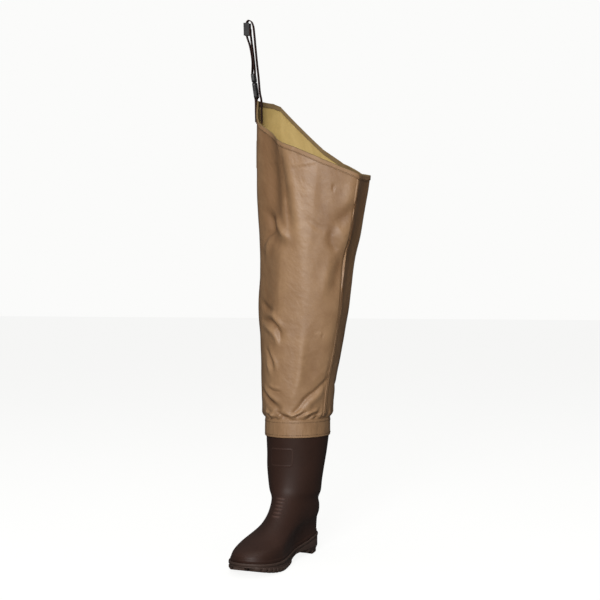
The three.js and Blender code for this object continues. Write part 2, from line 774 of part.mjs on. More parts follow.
// The short webbing: sewn outside the collar, up round the buckle's lower bar and down again
function buckleTab() {
  const returned = outerSeat + webbingThickness + looseFit;
  const points = [
    new THREE.Vector2(outerSeat, -sewnLength),
    new THREE.Vector2(outerSeat, -sewnLength / 2),
    new THREE.Vector2(outerSeat, -3),
    new THREE.Vector2(outerSeat - 0.1, 1.5),
    ...wrap(buckleFoot, wrapRadius, [218, 185, 145, 100, 60, 20, -20]),
    new THREE.Vector2(returned, 1.5),
    new THREE.Vector2(returned, -sewnLength / 2),
    new THREE.Vector2(returned, -sewnLength + 3),
  ];
  return ribbon(points);
}

// Moulded pieces lie in their own plane first: X across, Y along, Z through their thickness
const uprightBasis = new THREE.Matrix4().makeBasis(
  new THREE.Vector3(0, 1, 0),
  new THREE.Vector3(0, 0, 1),
  new THREE.Vector3(1, 0, 0),
);

function plate(shape, thickness, bevel = 1) {
  return new THREE.ExtrudeGeometry(shape, {
    depth: thickness - 2 * bevel,
    bevelThickness: bevel,
    bevelSize: bevel,
    bevelOffset: -bevel,
    bevelSegments: 1,
    curveSegments: 3,
  }).translate(0, 0, bevel - thickness / 2);
}

function roundedRectangle(width, low, high, radius) {
  const half = width / 2;
  const shape = new THREE.Shape();
  shape.moveTo(half - radius, low);
  shape.absarc(half - radius, low + radius, radius, -Math.PI / 2, 0);
  shape.absarc(half - radius, high - radius, radius, 0, Math.PI / 2);
  shape.absarc(-half + radius, high - radius, radius, Math.PI / 2, Math.PI);
  shape.absarc(-half + radius, low + radius, radius, Math.PI, 1.5 * Math.PI);
  return shape;
}

const webbingSlot = webbingWidth + 2;
const cavityWidth = buckleWidth - 7;
const cavityThickness = buckleThickness - 4;
const prongLength = femaleLength - 2 * barSize - slotHeight;
const windowMiddle = femaleLength - 0.55 * prongLength;

// A round bar for webbing, across the strap
function webbingBar(length, y) {
  const bar = new THREE.CylinderGeometry(barSize / 2, barSize / 2, length, 12);
  return bar.rotateZ(Math.PI / 2).translate(0, y, 0);
}

// The gap that webbing passes through, with a round bar left in it
function barNotch(body, barAt, side) {
  const reach = slotHeight + 2 * barSize;
  const middle = barAt + side * (slotHeight + barSize / 2 - reach / 2);
  const notch = toManifold(box(webbingSlot, reach, 2 * buckleThickness, 0, middle, 0));
  return body.subtract(notch).add(toManifold(webbingBar(webbingSlot + 1, barAt)));
}

function buckleFemale() {
  const low = -barSize;
  const mouth = femaleLength - barSize;
  const body = toManifold(plate(roundedRectangle(buckleWidth, low, mouth, 5), buckleThickness));
  const cavity = box(cavityWidth, prongLength + 2, cavityThickness, 0, mouth - prongLength / 2 + 1, 0);
  const windows = [-1, 1].map((side) =>
    box(8, 0.5 * prongLength, cavityThickness, (side * buckleWidth) / 2, windowMiddle - barSize, 0),
  );
  const hollow = [cavity, ...windows].map(toManifold).reduce((left, cut) => left.subtract(cut), body);
  return fromManifold(barNotch(hollow, 0, 1)).applyMatrix4(uprightBasis);
}

function buckleMale() {
  const low = femaleLength - barSize + clearance;
  const high = low + maleLength;
  const head = toManifold(plate(roundedRectangle(buckleWidth, low, high, 4), buckleThickness));
  const inside = cavityThickness - 2 * looseFit;
  const reach = prongLength - 1;
  const prongs = [-1, 1].flatMap((side) => [
    box(4, reach + 2, inside, side * (cavityWidth / 2 - 2 - looseFit), low - reach / 2 + 1, 0),
    box(5, 0.4 * prongLength, inside, side * (buckleWidth / 2 - 2.8), windowMiddle - barSize, 0),
  ]);
  const guide = box(6, 0.6 * reach + 2, inside, 0, low - 0.3 * reach + 1, 0);
  const whole = barNotch(head, high - barSize, -1).add(joined([...prongs, guide]));
  return fromManifold(whole).applyMatrix4(uprightBasis);
}

// A three-bar slider: the middle bar behind the strap, the outer bars in front of it
function strapSlider() {
  const frontFace = barSize / 2 + clearance + 2 * webbingThickness + 2 * looseFit;
  const barHeight = 4.5;
  const backFace = -barSize / 2 - 0.4;
  const depth = frontFace + 3 - backFace;
  const middle = backFace + depth / 2;
  const cheek = (sliderWidth - webbingSlot) / 2;
  const cheeks = [-1, 1].map((side) =>
    box(depth, cheek, sliderHeight, middle, (side * (sliderWidth - cheek)) / 2, 0),
  );
  const outer = [-1, 1].map((side) =>
    box(3, sliderWidth, barHeight, frontFace + 1.5, 0, (side * (sliderHeight - barHeight)) / 2),
  );
  const centre = webbingBar(webbingSlot + cheek, 0).rotateZ(Math.PI / 2);
  return fromManifold(joined([...cheeks, ...outer, centre]));
}

const rubber = new THREE.MeshStandardMaterial({ color: 0x3a2b25, roughness: 0.55, metalness: 0 });
const sole = new THREE.MeshStandardMaterial({ color: 0x382b27, roughness: 0.7, metalness: 0 });
const felt = new THREE.MeshStandardMaterial({ color: 0x6f675c, roughness: 0.95, metalness: 0 });
const nylon = new THREE.MeshStandardMaterial({ color: 0xa08064, roughness: 0.7, metalness: 0 });
const tape = new THREE.MeshStandardMaterial({ color: 0x7d6a4c, roughness: 0.8, metalness: 0 });
const webbing = new THREE.MeshStandardMaterial({ color: 0x4a3028, roughness: 0.8, metalness: 0 });
const acetal = new THREE.MeshStandardMaterial({ color: 0x232323, roughness: 0.45, metalness: 0 });
const woven = new THREE.MeshStandardMaterial({ color: 0x2c2826, roughness: 0.85, metalness: 0 });

function piece(name, geometry, material) {
  const mesh = new THREE.Mesh(geometry, material);
  mesh.name = name;
  return mesh;
}

const strap = new THREE.Group();
strap.position.copy(strapRoot);
const strapHeading = Math.atan2(strapNormal.y, strapNormal.x) + degrees(strapTwist);
strap.rotation.set(-degrees(strapLean), 0, strapHeading, "ZYX");
const buckle = new THREE.Group();
buckle.position.set(buckleFoot.x, 0, buckleFoot.y);
buckle.rotation.y = degrees(buckleLean);
buckle.add(piece("buckle_female", buckleFemale(), acetal), piece("buckle_male", buckleMale(), acetal));
const slider = piece("strap_slider", strapSlider(), acetal);
slider.position.set(sliderMiddle.x, 0, sliderMiddle.y);
strap.add(
  piece("belt_webbing", beltWebbing(), webbing),
  piece("buckle_tab", buckleTab(), webbing),
  buckle,
  slider,
);

const wader = new THREE.Group();
wader.add(
  piece("outsole", outsole(), sole),
  piece("insole", insole(), felt),
  piece("upper", upper(), rubber),
  piece("shaft", shaft(), nylon),
  piece("cuff_band", cuffBand(), nylon),
  piece("collar_binding", collarBinding(), tape),
  piece("inner_seam", innerSeam(), nylon),
  piece("side_label", sideLabel(), woven),
  strap,
);

export default wader;
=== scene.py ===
"""Hip wader for the right leg: a moulded rubber boot, a coated nylon leg and a belt strap with buckle and slider.
Tables and shapes are in millimetres, in the frame of the CAD: X to the toe, Y to the inner side of the leg, Z up."""

import math

import bpy
import numpy as np
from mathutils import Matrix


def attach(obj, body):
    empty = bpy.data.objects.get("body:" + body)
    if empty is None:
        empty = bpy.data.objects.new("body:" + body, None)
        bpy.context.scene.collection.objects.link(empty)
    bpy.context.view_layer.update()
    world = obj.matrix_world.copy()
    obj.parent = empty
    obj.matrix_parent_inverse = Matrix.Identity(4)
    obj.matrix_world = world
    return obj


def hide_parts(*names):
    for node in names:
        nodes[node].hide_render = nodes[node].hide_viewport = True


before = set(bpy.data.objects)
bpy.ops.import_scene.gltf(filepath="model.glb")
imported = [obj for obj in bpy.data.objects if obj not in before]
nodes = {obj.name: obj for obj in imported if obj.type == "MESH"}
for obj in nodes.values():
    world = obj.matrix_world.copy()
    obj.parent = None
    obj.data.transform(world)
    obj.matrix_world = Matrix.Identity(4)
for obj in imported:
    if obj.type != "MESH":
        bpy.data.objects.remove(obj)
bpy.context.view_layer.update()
MM = 0.001

# Camera, floor and light ----------------------------------------------------------------------------------------
VIEW_TURN = 114.4  # degrees that the camera looks round from +Y
VIEW_DISTANCE = 2560
VIEW_HEIGHT = 515
SURROUND = 0.1  # how strongly the pale surround lights the wader
SURROUND_SEEN = 1.0  # how bright it looks
FLOOR_SEEN = 0.93  # how bright the pale floor looks without light


def make_camera():
    """A level camera at the height of the knee, looking at the wader from its front and inner side."""
    data = bpy.data.cameras.new("camera")
    data.lens = 74.94
    data.sensor_width = 36
    data.shift_x = 0.0033
    camera = bpy.data.objects.new("camera", data)
    turn = math.radians(VIEW_TURN)
    camera.location = (
        VIEW_DISTANCE * MM * math.sin(turn),
        -VIEW_DISTANCE * MM * math.cos(turn),
        VIEW_HEIGHT * MM,
    )
    camera.rotation_euler = (math.pi / 2, 0, turn)
    bpy.context.scene.collection.objects.link(camera)
    bpy.context.scene.camera = camera


def linear(colour):
    """An sRGB hex colour as linear red, green, blue and alpha."""
    parts = [int(colour[i : i + 2], 16) / 255 for i in (0, 2, 4)]
    return [c / 12.92 if c <= 0.04045 else ((c + 0.055) / 1.055) ** 2.4 for c in parts] + [1.0]


def add(tree, kind, inputs=None, **settings):
    """Adds a shader node, sets its settings, and links or sets its inputs."""
    node = tree.nodes.new(kind)
    for name, value in settings.items():
        setattr(node, name, value)
    for socket, value in (inputs or {}).items():
        if isinstance(value, bpy.types.NodeSocket):
            tree.links.new(value, node.inputs[socket])
        else:
            node.inputs[socket].default_value = value
    return node


def area_light(name, place, aim, size, power):
    data = bpy.data.lights.new(name, "AREA")
    data.shape = "RECTANGLE"
    data.size, data.size_y = size
    data.energy = power
    light = bpy.data.objects.new(name, data)
    away = np.array(place) - np.array(aim)
    flat = math.hypot(away[0], away[1])
    light.location = place
    light.rotation_euler = (math.atan2(flat, away[2]), 0, math.atan2(away[0], -away[1]))
    bpy.context.scene.collection.objects.link(light)


def make_studio():
    """A plain pale floor, a pale surround and three large soft lights."""
    mesh = bpy.data.meshes.new("floor")
    reach = 30
    mesh.from_pydata([(-reach, -reach, 0), (reach, -reach, 0), (reach, reach, 0), (-reach, reach, 0)], [], [(0, 1, 2, 3)])
    floor = bpy.data.objects.new("floor", mesh)
    bpy.context.scene.collection.objects.link(floor)
    material = bpy.data.materials.new("pale_studio_floor")
    material.use_nodes = True
    shader = material.node_tree.nodes["Principled BSDF"]
    shader.inputs["Base Color"].default_value = linear("6c6c6b")
    shader.inputs["Roughness"].default_value = 0.9
    shader.inputs["Emission Color"].default_value = linear("fbfbfa")
    seen = add(material.node_tree, "ShaderNodeLightPath").outputs["Is Camera Ray"]
    glow = add(material.node_tree, "ShaderNodeMath", {0: seen, 1: FLOOR_SEEN}, operation="MULTIPLY")
    material.node_tree.links.new(glow.outputs[0], shader.inputs["Emission Strength"])
    mesh.materials.append(material)
    world = bpy.data.worlds.new("studio")
    world.use_nodes = True
    tree = world.node_tree
    seen = add(tree, "ShaderNodeLightPath").outputs["Is Camera Ray"]
    strength = add(tree, "ShaderNodeMath", {0: seen, 1: SURROUND_SEEN - SURROUND, 2: SURROUND}, operation="MULTIPLY_ADD")
    background = tree.nodes["Background"]
    background.inputs["Color"].default_value = linear("fbfbfa")
    tree.links.new(strength.outputs[0], background.inputs["Strength"])
    bpy.context.scene.world = world
    bpy.context.scene.view_settings.view_transform = "Standard"
    area_light("key", (3.3, 0.95, 1.7), (0, 0, 0.45), (1.1, 1.6), 98)
    area_light("low", (2.6, 2.0, 0.45), (0, 0, 0.3), (0.9, 0.9), 13)
    area_light("top", (0.1, 0.1, 3.6), (0, 0, 0.6), (2.6, 2.6), 40)


make_camera()
make_studio()

# Shapes ------------------------------------------------------------------------------------------------------------


def columns(names, rows):
    """A table's named columns as arrays."""
    return dict(zip(names.split(), np.array(rows, float).T))


def curve(table, name, key="at"):
    """A smooth curve through one column: its slope at a sample is the mean of the two secants beside it."""
    places, values = table[key], table[name]
    secants = np.diff(values) / np.diff(places)
    slopes = np.concatenate((secants[:1], (secants[:-1] + secants[1:]) / 2, secants[-1:]))

    def sample(at):
        at = np.clip(at, places[0], places[-1])
        k = np.clip(np.searchsorted(places, at, side="right") - 1, 0, len(places) - 2)
        width = places[k + 1] - places[k]
        t = (at - places[k]) / width
        low = (2 * t**3 - 3 * t**2 + 1) * values[k] + (t**3 - 2 * t**2 + t) * width * slopes[k]
        return low + (3 * t**2 - 2 * t**3) * values[k + 1] + (t**3 - t**2) * width * slopes[k + 1]

    return sample


def straight(table, name):
    """Straight lines between the samples of one column."""
    return lambda at: np.interp(at, table["at"], table[name])


def mix(low, high, share):
    return low + (high - low) * share


def smoothstep(value, low, high):
    share = np.clip((value - low) / (high - low), 0, 1)
    return share**2 * (3 - 2 * share)


def bump(value, width):
    """A soft ridge, 1 at 0 and nearly 0 at twice the width."""
    return np.exp(-((value / width) ** 2))


def unit(vectors):
    return vectors / np.maximum(np.linalg.norm(vectors, axis=-1, keepdims=True), 1e-9)


def stack(x, y, z):
    return np.stack(np.broadcast_arrays(x, y, z), axis=-1).astype(float)


def ripple(a, b, seed, waves=7):
    """Smooth unevenness between about -1 and 1: a sum of slow waves in two directions, the same each run."""
    draw = np.random.default_rng(seed)
    total = 0
    for k in range(waves):
        turn, phase = draw.uniform(0, 2 * math.pi, 2)
        rate = draw.uniform(0.6, 2.2)
        total = total + np.sin(rate * (a * math.cos(turn) + b * math.sin(turn)) + phase)
    return total / math.sqrt(waves) / 1.4


def offset_point(surface, level, turn, distance, flat, low, high):
    """A point moved square to a surface of level and turn. flat keeps it at its own height."""
    step = 0.02
    up = surface(np.minimum(level + step, high), turn) - surface(np.maximum(level - step, low), turn)
    along = surface(level, turn + step) - surface(level, turn - step)
    normal = np.cross(along, up)
    normal[..., 2] = np.where(flat, 0, normal[..., 2])
    return surface(level, turn) + unit(normal) * np.asarray(distance)[..., None]


def lengths(points, axis):
    """Lengths along a grid's rows or columns, from its first point."""
    steps = np.linalg.norm(np.diff(points, axis=axis), axis=-1)
    return np.concatenate((np.zeros_like(np.take(steps, [0], axis)), np.cumsum(steps, axis)), axis)


def push(points, distance, wrap=True):
    """Moves a grid's points square to the grid by a distance in each point."""
    if wrap:
        wide = np.concatenate((points[:, -1:], points, points[:, :1]), axis=1)
        along = wide[:, 2:] - wide[:, :-2]
    else:
        along = np.gradient(points, axis=1)
    up = np.gradient(points, axis=0)
    return points + unit(np.cross(along, up)) * np.asarray(distance)[..., None]


class Piece:
    """Collects grid surfaces, and makes one object of them."""

    def __init__(self, name):
        self.name = name
        self.points, self.faces, self.places, self.looks, self.marks = [], [], [], [], []
        self.count = 0

    def grid(self, points, wrap=False, look=0, flip=False, marks=0.0, places=None, close=False):
        """Adds a grid of points: wrap joins its last column to its first, close its last row to its first."""
        rows, across = points.shape[:2]
        if places is None:
            whole = np.concatenate((points, points[:, :1]), axis=1) if wrap else points
            places = np.stack((lengths(whole, 1), lengths(whole, 0)), axis=-1)
        if close:
            places = np.concatenate((places, places[-1:] + (0, 1)), axis=0)
        i = np.arange(rows if close else rows - 1)[:, None]
        j = np.arange(across if wrap else across - 1)[None, :]
        i, j = np.broadcast_arrays(i, j)
        corners = [(i, j), (i, j + 1), (i + 1, j + 1), (i + 1, j)]
        if flip:
            corners = corners[::-1]
        face = np.stack([(a % rows) * across + b % across for a, b in corners], axis=-1).reshape(-1, 4)
        place = np.stack([places[a, b] for a, b in corners], axis=2).reshape(-1, 2)
        self.points.append(points.reshape(-1, 3))
        self.faces.append(face + self.count)
        self.places.append(place)
        self.looks.append(np.broadcast_to(look, i.shape).reshape(-1))
        self.marks.append(np.broadcast_to(marks, points.shape[:2]).reshape(-1))
        self.count += rows * across
        return self

    def build(self, materials, replaces=()):
        """Makes the object, in metres, with its lengths in millimetres as the map called sizes."""
        faces = np.concatenate(self.faces)
        mesh = bpy.data.meshes.new(self.name)
        mesh.from_pydata((np.concatenate(self.points) * MM).tolist(), [], faces.tolist())
        sizes = mesh.uv_layers.new(name="sizes")
        sizes.data.foreach_set("uv", np.concatenate(self.places).astype(np.float32).ravel())
        marks = mesh.attributes.new("mark", "FLOAT", "POINT")
        marks.data.foreach_set("value", np.concatenate(self.marks).astype(np.float32))
        mesh.polygons.foreach_set("use_smooth", np.ones(len(faces), bool))
        mesh.polygons.foreach_set("material_index", np.concatenate(self.looks).astype(np.int32))
        for material in materials:
            mesh.materials.append(material)
        mesh.update()
        obj = bpy.data.objects.new(self.name, mesh)
        bpy.context.scene.collection.objects.link(obj)
        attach(obj, "root")
        if replaces:
            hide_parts(*replaces)
        return obj


# Sizes shared with the CAD -------------------------------------------------------------------------------------------
SOLE_LENGTH, HEEL_SETBACK, BALL_WIDTH, TOE_SWING = 306, 38, 108, 9
SOLE_THICKNESS, HEEL_LIFT, HEEL_LENGTH, ARCH_HEIGHT, TOE_SPRING = 21.5, 19, 70, 14, 14
LUG_DEPTH, LUG_PITCH, HEEL_LUG_PITCH, SIDE_RIB, LUG_TAPER, HEEL_TAPER, RIB_HEIGHT = 5, 13, 17, 1, 3.5, 4, 9
SOLE_LIP, SOLE_LIP_HEIGHT, SIDE_GROOVE = 1.2, 4.5, 1.6
INSTEP_HEIGHT, BOOT_HEIGHT, BOOT_FRONT, BOOT_BACK, BOOT_WIDTH, BOOT_SHIFT, BOOT_WALL = 100, 276, 91, 56, 123, 7.5, 2.8
RAND_HEIGHT, RAND_STEP, UPPER_INSET, INSOLE_THICKNESS = 6, 1.2, 2.4, 4
PANEL_TOP, PANEL_BOTTOM, PANEL_TURN, PANEL_WIDTH, PANEL_ROUND = 219, 185, -0.08, 76, 6  # blank raised panel on the shin
FLEX_RIBS, FLEX_RIB_PITCH, FLEX_RIB_BOTTOM, FLEX_RIB_LENGTH, FLEX_RIB_RISE = 6, 6, 92, 27, 1.2
SHAFT_WALL, SHAFT_TUCK, CUFF_BOTTOM, CUFF_TOP, CUFF_WALL, CUFF_BULGE = 1, 246, 242, 277, 1, 5
THIGH_FRONT, THIGH_BACK, THIGH_INNER, THIGH_OUTER, PEAK_HEIGHT, CROTCH_HEIGHT = 101, 92, 158, 86, 925, 761
BINDING_DEPTH, BINDING_WALL, SEAM_WIDTH, SEAM_WALL = 9, 1, 9, 0.9
LABEL_WIDTH, LABEL_HEIGHT, LABEL_DROP, LABEL_WALL = 38, 56, 84, 0.8
STRAP_ANGLE, STRAP_LEAN, STRAP_TWIST, STRAP_RISE, LOOP_DEPTH, SEWN_LENGTH = 280, 9, 6, 163, 19, 46
WEBBING_WIDTH, WEBBING_THICKNESS = 25, 1.5
BUCKLE_LEAN, BUCKLE_RISE, FEMALE_LENGTH, MALE_LENGTH, BAR_SIZE, SLIDER_HEIGHT = 7, 8.5, 33, 18, 3.6, 25
CLEARANCE, LOOSE_FIT = 0.3, 0.5
HEEL_BACK, TOE_FRONT, HEEL_BREAST = -HEEL_SETBACK, SOLE_LENGTH - HEEL_SETBACK, HEEL_LENGTH - HEEL_SETBACK

OUTLINE = columns("at half swing", [
    [0, 0, 0.15], [0.02, 0.39, 0.15], [0.062, 0.62, 0.15], [0.124, 0.72, 0.15], [0.23, 0.735, 0.05],
    [0.33, 0.71, -0.15], [0.43, 0.74, -0.35], [0.54, 0.86, -0.35], [0.65, 0.97, -0.15], [0.735, 1, 0.15],
    [0.82, 0.935, 0.5], [0.885, 0.82, 0.75], [0.94, 0.65, 0.9], [0.98, 0.4, 1], [1, 0, 1],
])
SOLE_TOP = columns("at rise", [
    [0, 1.08], [0.157, 0.82], [0.24, 0.57], [0.42, 0.2], [0.6, 0.04], [0.75, 0], [0.88, 0.08], [1, 0.28],
])
TREAD = columns("at arch spring lug", [
    [0, 1, 0, 0], [0.23, 0.96, 0, 0], [0.37, 0.3, 0, 1], [0.43, 0, 0, 1], [0.6, 0, 0, 1],
    [0.68, 0, 0.07, 1], [0.76, 0, 0.2, 1], [0.84, 0, 0.39, 1], [0.92, 0, 0.67, 1], [1, 0, 1, 1],
])
FOOT_RINGS = [  # front frontUp back backUp half shift oval egg follow
    [0.992, 0, 0.97, 0, 0.985, 0, 0, 0, 1],
    [0.995, 0.075, 1.02, 0.09, 0.99, 0, 0, 0, 1],
    [0.98, 0.145, 1.08, 0.2, 0.965, 0.1, 0.06, 0.1, 0.8],
    [0.935, 0.215, 1.1, 0.27, 0.92, 0.3, 0.2, 0.2, 0.5],
    [0.855, 0.28, 1.1, 0.33, 0.87, 0.5, 0.38, 0.3, 0.2],
    [0.755, 0.355, 1.09, 0.38, 0.835, 0.7, 0.54, 0.36, 0],
    [0.65, 0.46, 1.07, 0.44, 0.82, 0.85, 0.66, 0.39, 0],
    [0.545, 0.605, 1.045, 0.51, 0.81, 0.9, 0.76, 0.37, 0],
    [0.452, 0.77, 1.02, 0.59, 0.815, 0.8, 0.86, 0.3, 0],
    [0.377, 0.95, 0.98, 0.69, 0.83, 0.6, 0.95, 0.19, 0],
]
CALF_RINGS = [  # front frontUp back backUp half shift egg
    [0.965, 0.49, 0.655, 0.455, 0.81, 0.45, 0.1],
    [0.93, 0.565, 0.71, 0.535, 0.865, 0.4, 0.04],
    [0.925, 0.655, 0.81, 0.64, 0.92, 0.5, 0],
    [0.945, 0.75, 0.905, 0.745, 0.955, 0.75, 0],
    [0.985, 0.85, 0.975, 0.85, 0.99, 0.95, 0],
    [1, 0.9, 1, 0.9, 1, 1, 0],
    [1, 1, 1, 1, 1, 1, 0],
]
FLARE = columns("at front back inner outer", [
    [0, 0, 0, 0, 0], [0.04, 0.1, 0.06, 0.03, 0.08], [0.115, 0.3, 0.15, 0.11, 0.22], [0.19, 0.42, 0.27, 0.24, 0.36],
    [0.265, 0.5, 0.39, 0.35, 0.46], [0.34, 0.6, 0.5, 0.45, 0.54], [0.42, 0.7, 0.6, 0.52, 0.53],
    [0.495, 0.78, 0.68, 0.6, 0.56], [0.57, 0.84, 0.77, 0.75, 0.69], [0.645, 0.9, 0.86, 0.86, 0.85],
    [0.76, 1, 0.97, 1, 0.98], [1, 1, 1, 0.97, 1],
])
COLLAR = columns("at drop", [
    [0, 0.67], [29, 0.83], [49, 0.92], [68, 1], [100, 0.99], [135, 0.93], [167, 0.77], [188, 0.58], [211, 0.31],
    [236, 0.03], [246, 0], [270, 0], [283, 0.01], [290, 0.17], [304, 0.31], [324, 0.45], [348, 0.61], [360, 0.67],
])
LOOP = columns("out up", [
    [-0.22, 0.1], [-0.1, 0.3], [0.02, 0.45], [0.16, 0.66], [0.27, 0.84], [0.36, 0.93], [0.56, 0.985], [0.8, 1],
    [1, 0.98],
])
CREASES = columns("at width height", [[-14, 17, 0.035], [68, 15, 0.045], [168, 24, 0.03]])
CREASE_FADE = 0.25
SEAM_AT, SEAM_SWING = 68, 9

# The foot's outline. Round ends need the table read against an angle, 0 at the toe and 1 at the heel.
OUTLINE["angle"] = np.arccos(2 * OUTLINE["at"] - 1) / math.pi
OUTLINE = {name: values[::-1] for name, values in OUTLINE.items()}
outline_half = curve(OUTLINE, "half", "angle")
outline_swing = curve(OUTLINE, "swing", "angle")
sole_rise = curve(SOLE_TOP, "rise")


def sole_top(x):
    return SOLE_THICKNESS + HEEL_LIFT * sole_rise((x - HEEL_BACK) / SOLE_LENGTH)


def outline_point(turn):
    share = (1 + np.cos(turn)) / 2
    angle = np.arccos(np.clip(2 * share - 1, -1, 1)) / math.pi
    half = np.sign(np.sin(turn)) * outline_half(angle) * BALL_WIDTH / 2
    return np.stack((HEEL_BACK + share * SOLE_LENGTH, outline_swing(angle) * TOE_SWING + half), axis=-1)


def sole_ring(turn, outset, height):
    """A ring round the sole, set out from its outline, at a height that depends on x."""
    along = unit(outline_point(turn + 0.02) - outline_point(turn - 0.02))
    point = outline_point(turn) + np.stack((along[..., 1], -along[..., 0]), axis=-1) * outset
    return stack(point[..., 0], point[..., 1], height(point[..., 0]))


def forefoot(x):
    return np.clip((x - HEEL_BREAST) / (TOE_FRONT - HEEL_BREAST), 0, 1)


def tread_height(x):
    at = forefoot(x)
    return straight(TREAD, "arch")(at) * ARCH_HEIGHT + straight(TREAD, "spring")(at) * TOE_SPRING


def plate_bottom(x):
    return tread_height(x) + straight(TREAD, "lug")(forefoot(x)) * LUG_DEPTH


def across(ring, steps):
    """Fills a ring with strips between the points that face each other across the foot."""
    count = len(ring)
    near = ring[: count // 2 + 1]
    far = np.concatenate((ring[:1], ring[: count // 2 - 1 : -1]))
    share = np.linspace(0, 1, steps)[:, None, None]
    return near[None] * (1 - share) + far[None] * share


def turns(count):
    return np.arange(count) * 2 * math.pi / count


def boot_levels():
    """The boot's rings in millimetres, foot first, as curves over their number."""
    rows = []
    for front, front_up, back, back_up, half, shift, oval, egg, follow in FOOT_RINGS:
        front = front * TOE_FRONT - UPPER_INSET
        back = -back * HEEL_SETBACK + UPPER_INSET
        rows.append([
            front, float(sole_top(front)) + CLEARANCE + front_up * INSTEP_HEIGHT,
            back, float(sole_top(back)) + CLEARANCE + back_up * INSTEP_HEIGHT,
            half * BALL_WIDTH / 2 - UPPER_INSET, shift * BOOT_SHIFT, oval, egg, follow,
        ])
    for front, front_up, back, back_up, half, shift, egg in CALF_RINGS:
        rows.append([
            front * BOOT_FRONT, front_up * BOOT_HEIGHT, -back * BOOT_BACK, back_up * BOOT_HEIGHT,
            half * BOOT_WIDTH / 2, shift * BOOT_SHIFT, 1, egg, 0,
        ])
    table = columns("front front_up back back_up half shift oval egg follow", rows)
    table["at"] = np.arange(len(rows), dtype=float)
    return {name: curve(table, name) for name in table}


BOOT = boot_levels()
LAST_LEVEL = len(FOOT_RINGS) + len(CALF_RINGS) - 1


def boot_point(level, turn):
    """The boot's outside: tilted rings that change from the foot's outline at the sole to ovals above the ankle."""
    front, back = BOOT["front"](level), BOOT["back"](level)
    share = (1 + np.cos(turn)) / 2
    x = mix(back, front, share)
    angle = np.arccos(np.clip(2 * share - 1, -1, 1)) / math.pi
    oval = BOOT["oval"](level)
    foot = np.sign(np.sin(turn)) * outline_half(angle)
    egg = np.sin(turn) * (1 - BOOT["egg"](level) * np.cos(turn))
    swing = outline_swing(angle) * TOE_SWING * (1 - oval**3)
    y = BOOT["shift"](level) + swing + BOOT["half"](level) * mix(foot, egg, oval)
    chord = mix(sole_top(back), sole_top(front), share)
    rise = mix(BOOT["back_up"](level), BOOT["front_up"](level), share)
    return stack(x, y, rise + BOOT["follow"](level) * (sole_top(x) - chord))


def boot_skin(level, turn, outset):
    flat = (level == 0) | (level > LAST_LEVEL - 1.5)
    return offset_point(boot_point, level, turn, outset, flat, 0, LAST_LEVEL)


flare = {name: curve(FLARE, name) for name in ("front", "back", "inner", "outer")}


def collar_height(turn):
    drop = straight(COLLAR, "drop")(np.degrees(turn) % 360)
    return mix(PEAK_HEIGHT, CROTCH_HEIGHT, drop)


def turn_away(turn, degrees):
    """Degrees from a place round the leg, between -180 and 180."""
    return (np.degrees(turn) - degrees + 180) % 360 - 180


def leg_point(height, turn):
    """The leg's outside: four sides that flare from the boot's top to the thigh, with long soft creases."""
    share = np.clip((height - CUFF_TOP) / (PEAK_HEIGHT - CUFF_TOP), 0, 1)
    close = CLEARANCE + SHAFT_WALL
    swell = CUFF_BULGE * smoothstep(share, 0, 0.02) * (1 - share)
    front = mix(BOOT_FRONT + close, THIGH_FRONT, flare["front"](share)) + swell
    back = mix(BOOT_BACK + close, THIGH_BACK, flare["back"](share)) + swell
    inner = mix(BOOT_SHIFT + BOOT_WIDTH / 2 + close, THIGH_INNER, flare["inner"](share)) + swell
    outer = mix(BOOT_WIDTH / 2 - BOOT_SHIFT + close, THIGH_OUTER, flare["outer"](share)) + swell
    fade = smoothstep(share, 0, CREASE_FADE)
    bulge = 1
    for at, width, rise in zip(*CREASES.values()):
        bulge = bulge + rise * fade * (bump(turn_away(turn, at), width) - 0.25)
    x = (front - back) / 2 + (front + back) / 2 * np.cos(turn) * bulge
    y = (inner - outer) / 2 + (inner + outer) / 2 * np.sin(turn) * bulge
    return stack(x, y, height)


def leg_skin(height, turn, distance):
    return offset_point(leg_point, height, turn, distance, True, 0, 2 * PEAK_HEIGHT)


FOLD_HEIGHT = CUFF_TOP + 0.5


def leg_height(share, turn):
    return mix(FOLD_HEIGHT + CUFF_BULGE, collar_height(turn) - BINDING_DEPTH, share)


# Materials -----------------------------------------------------------------------------------------------------------


def material_base(name, rough, **inputs):
    """A new material with its node tree and its shader node."""
    material = bpy.data.materials.new(name)
    material.use_nodes = True
    tree = material.node_tree
    shader = tree.nodes["Principled BSDF"]
    shader.inputs["Roughness"].default_value = rough
    for socket, value in inputs.items():
        shader.inputs[socket.replace("_", " ")].default_value = value
    return material, tree, shader


def tinted(tree, factor, low, high):
    """A colour between two sRGB colours."""
    return add(tree, "ShaderNodeMix", {"Factor": factor, 6: linear(low), 7: linear(high)}, data_type="RGBA").outputs[2]


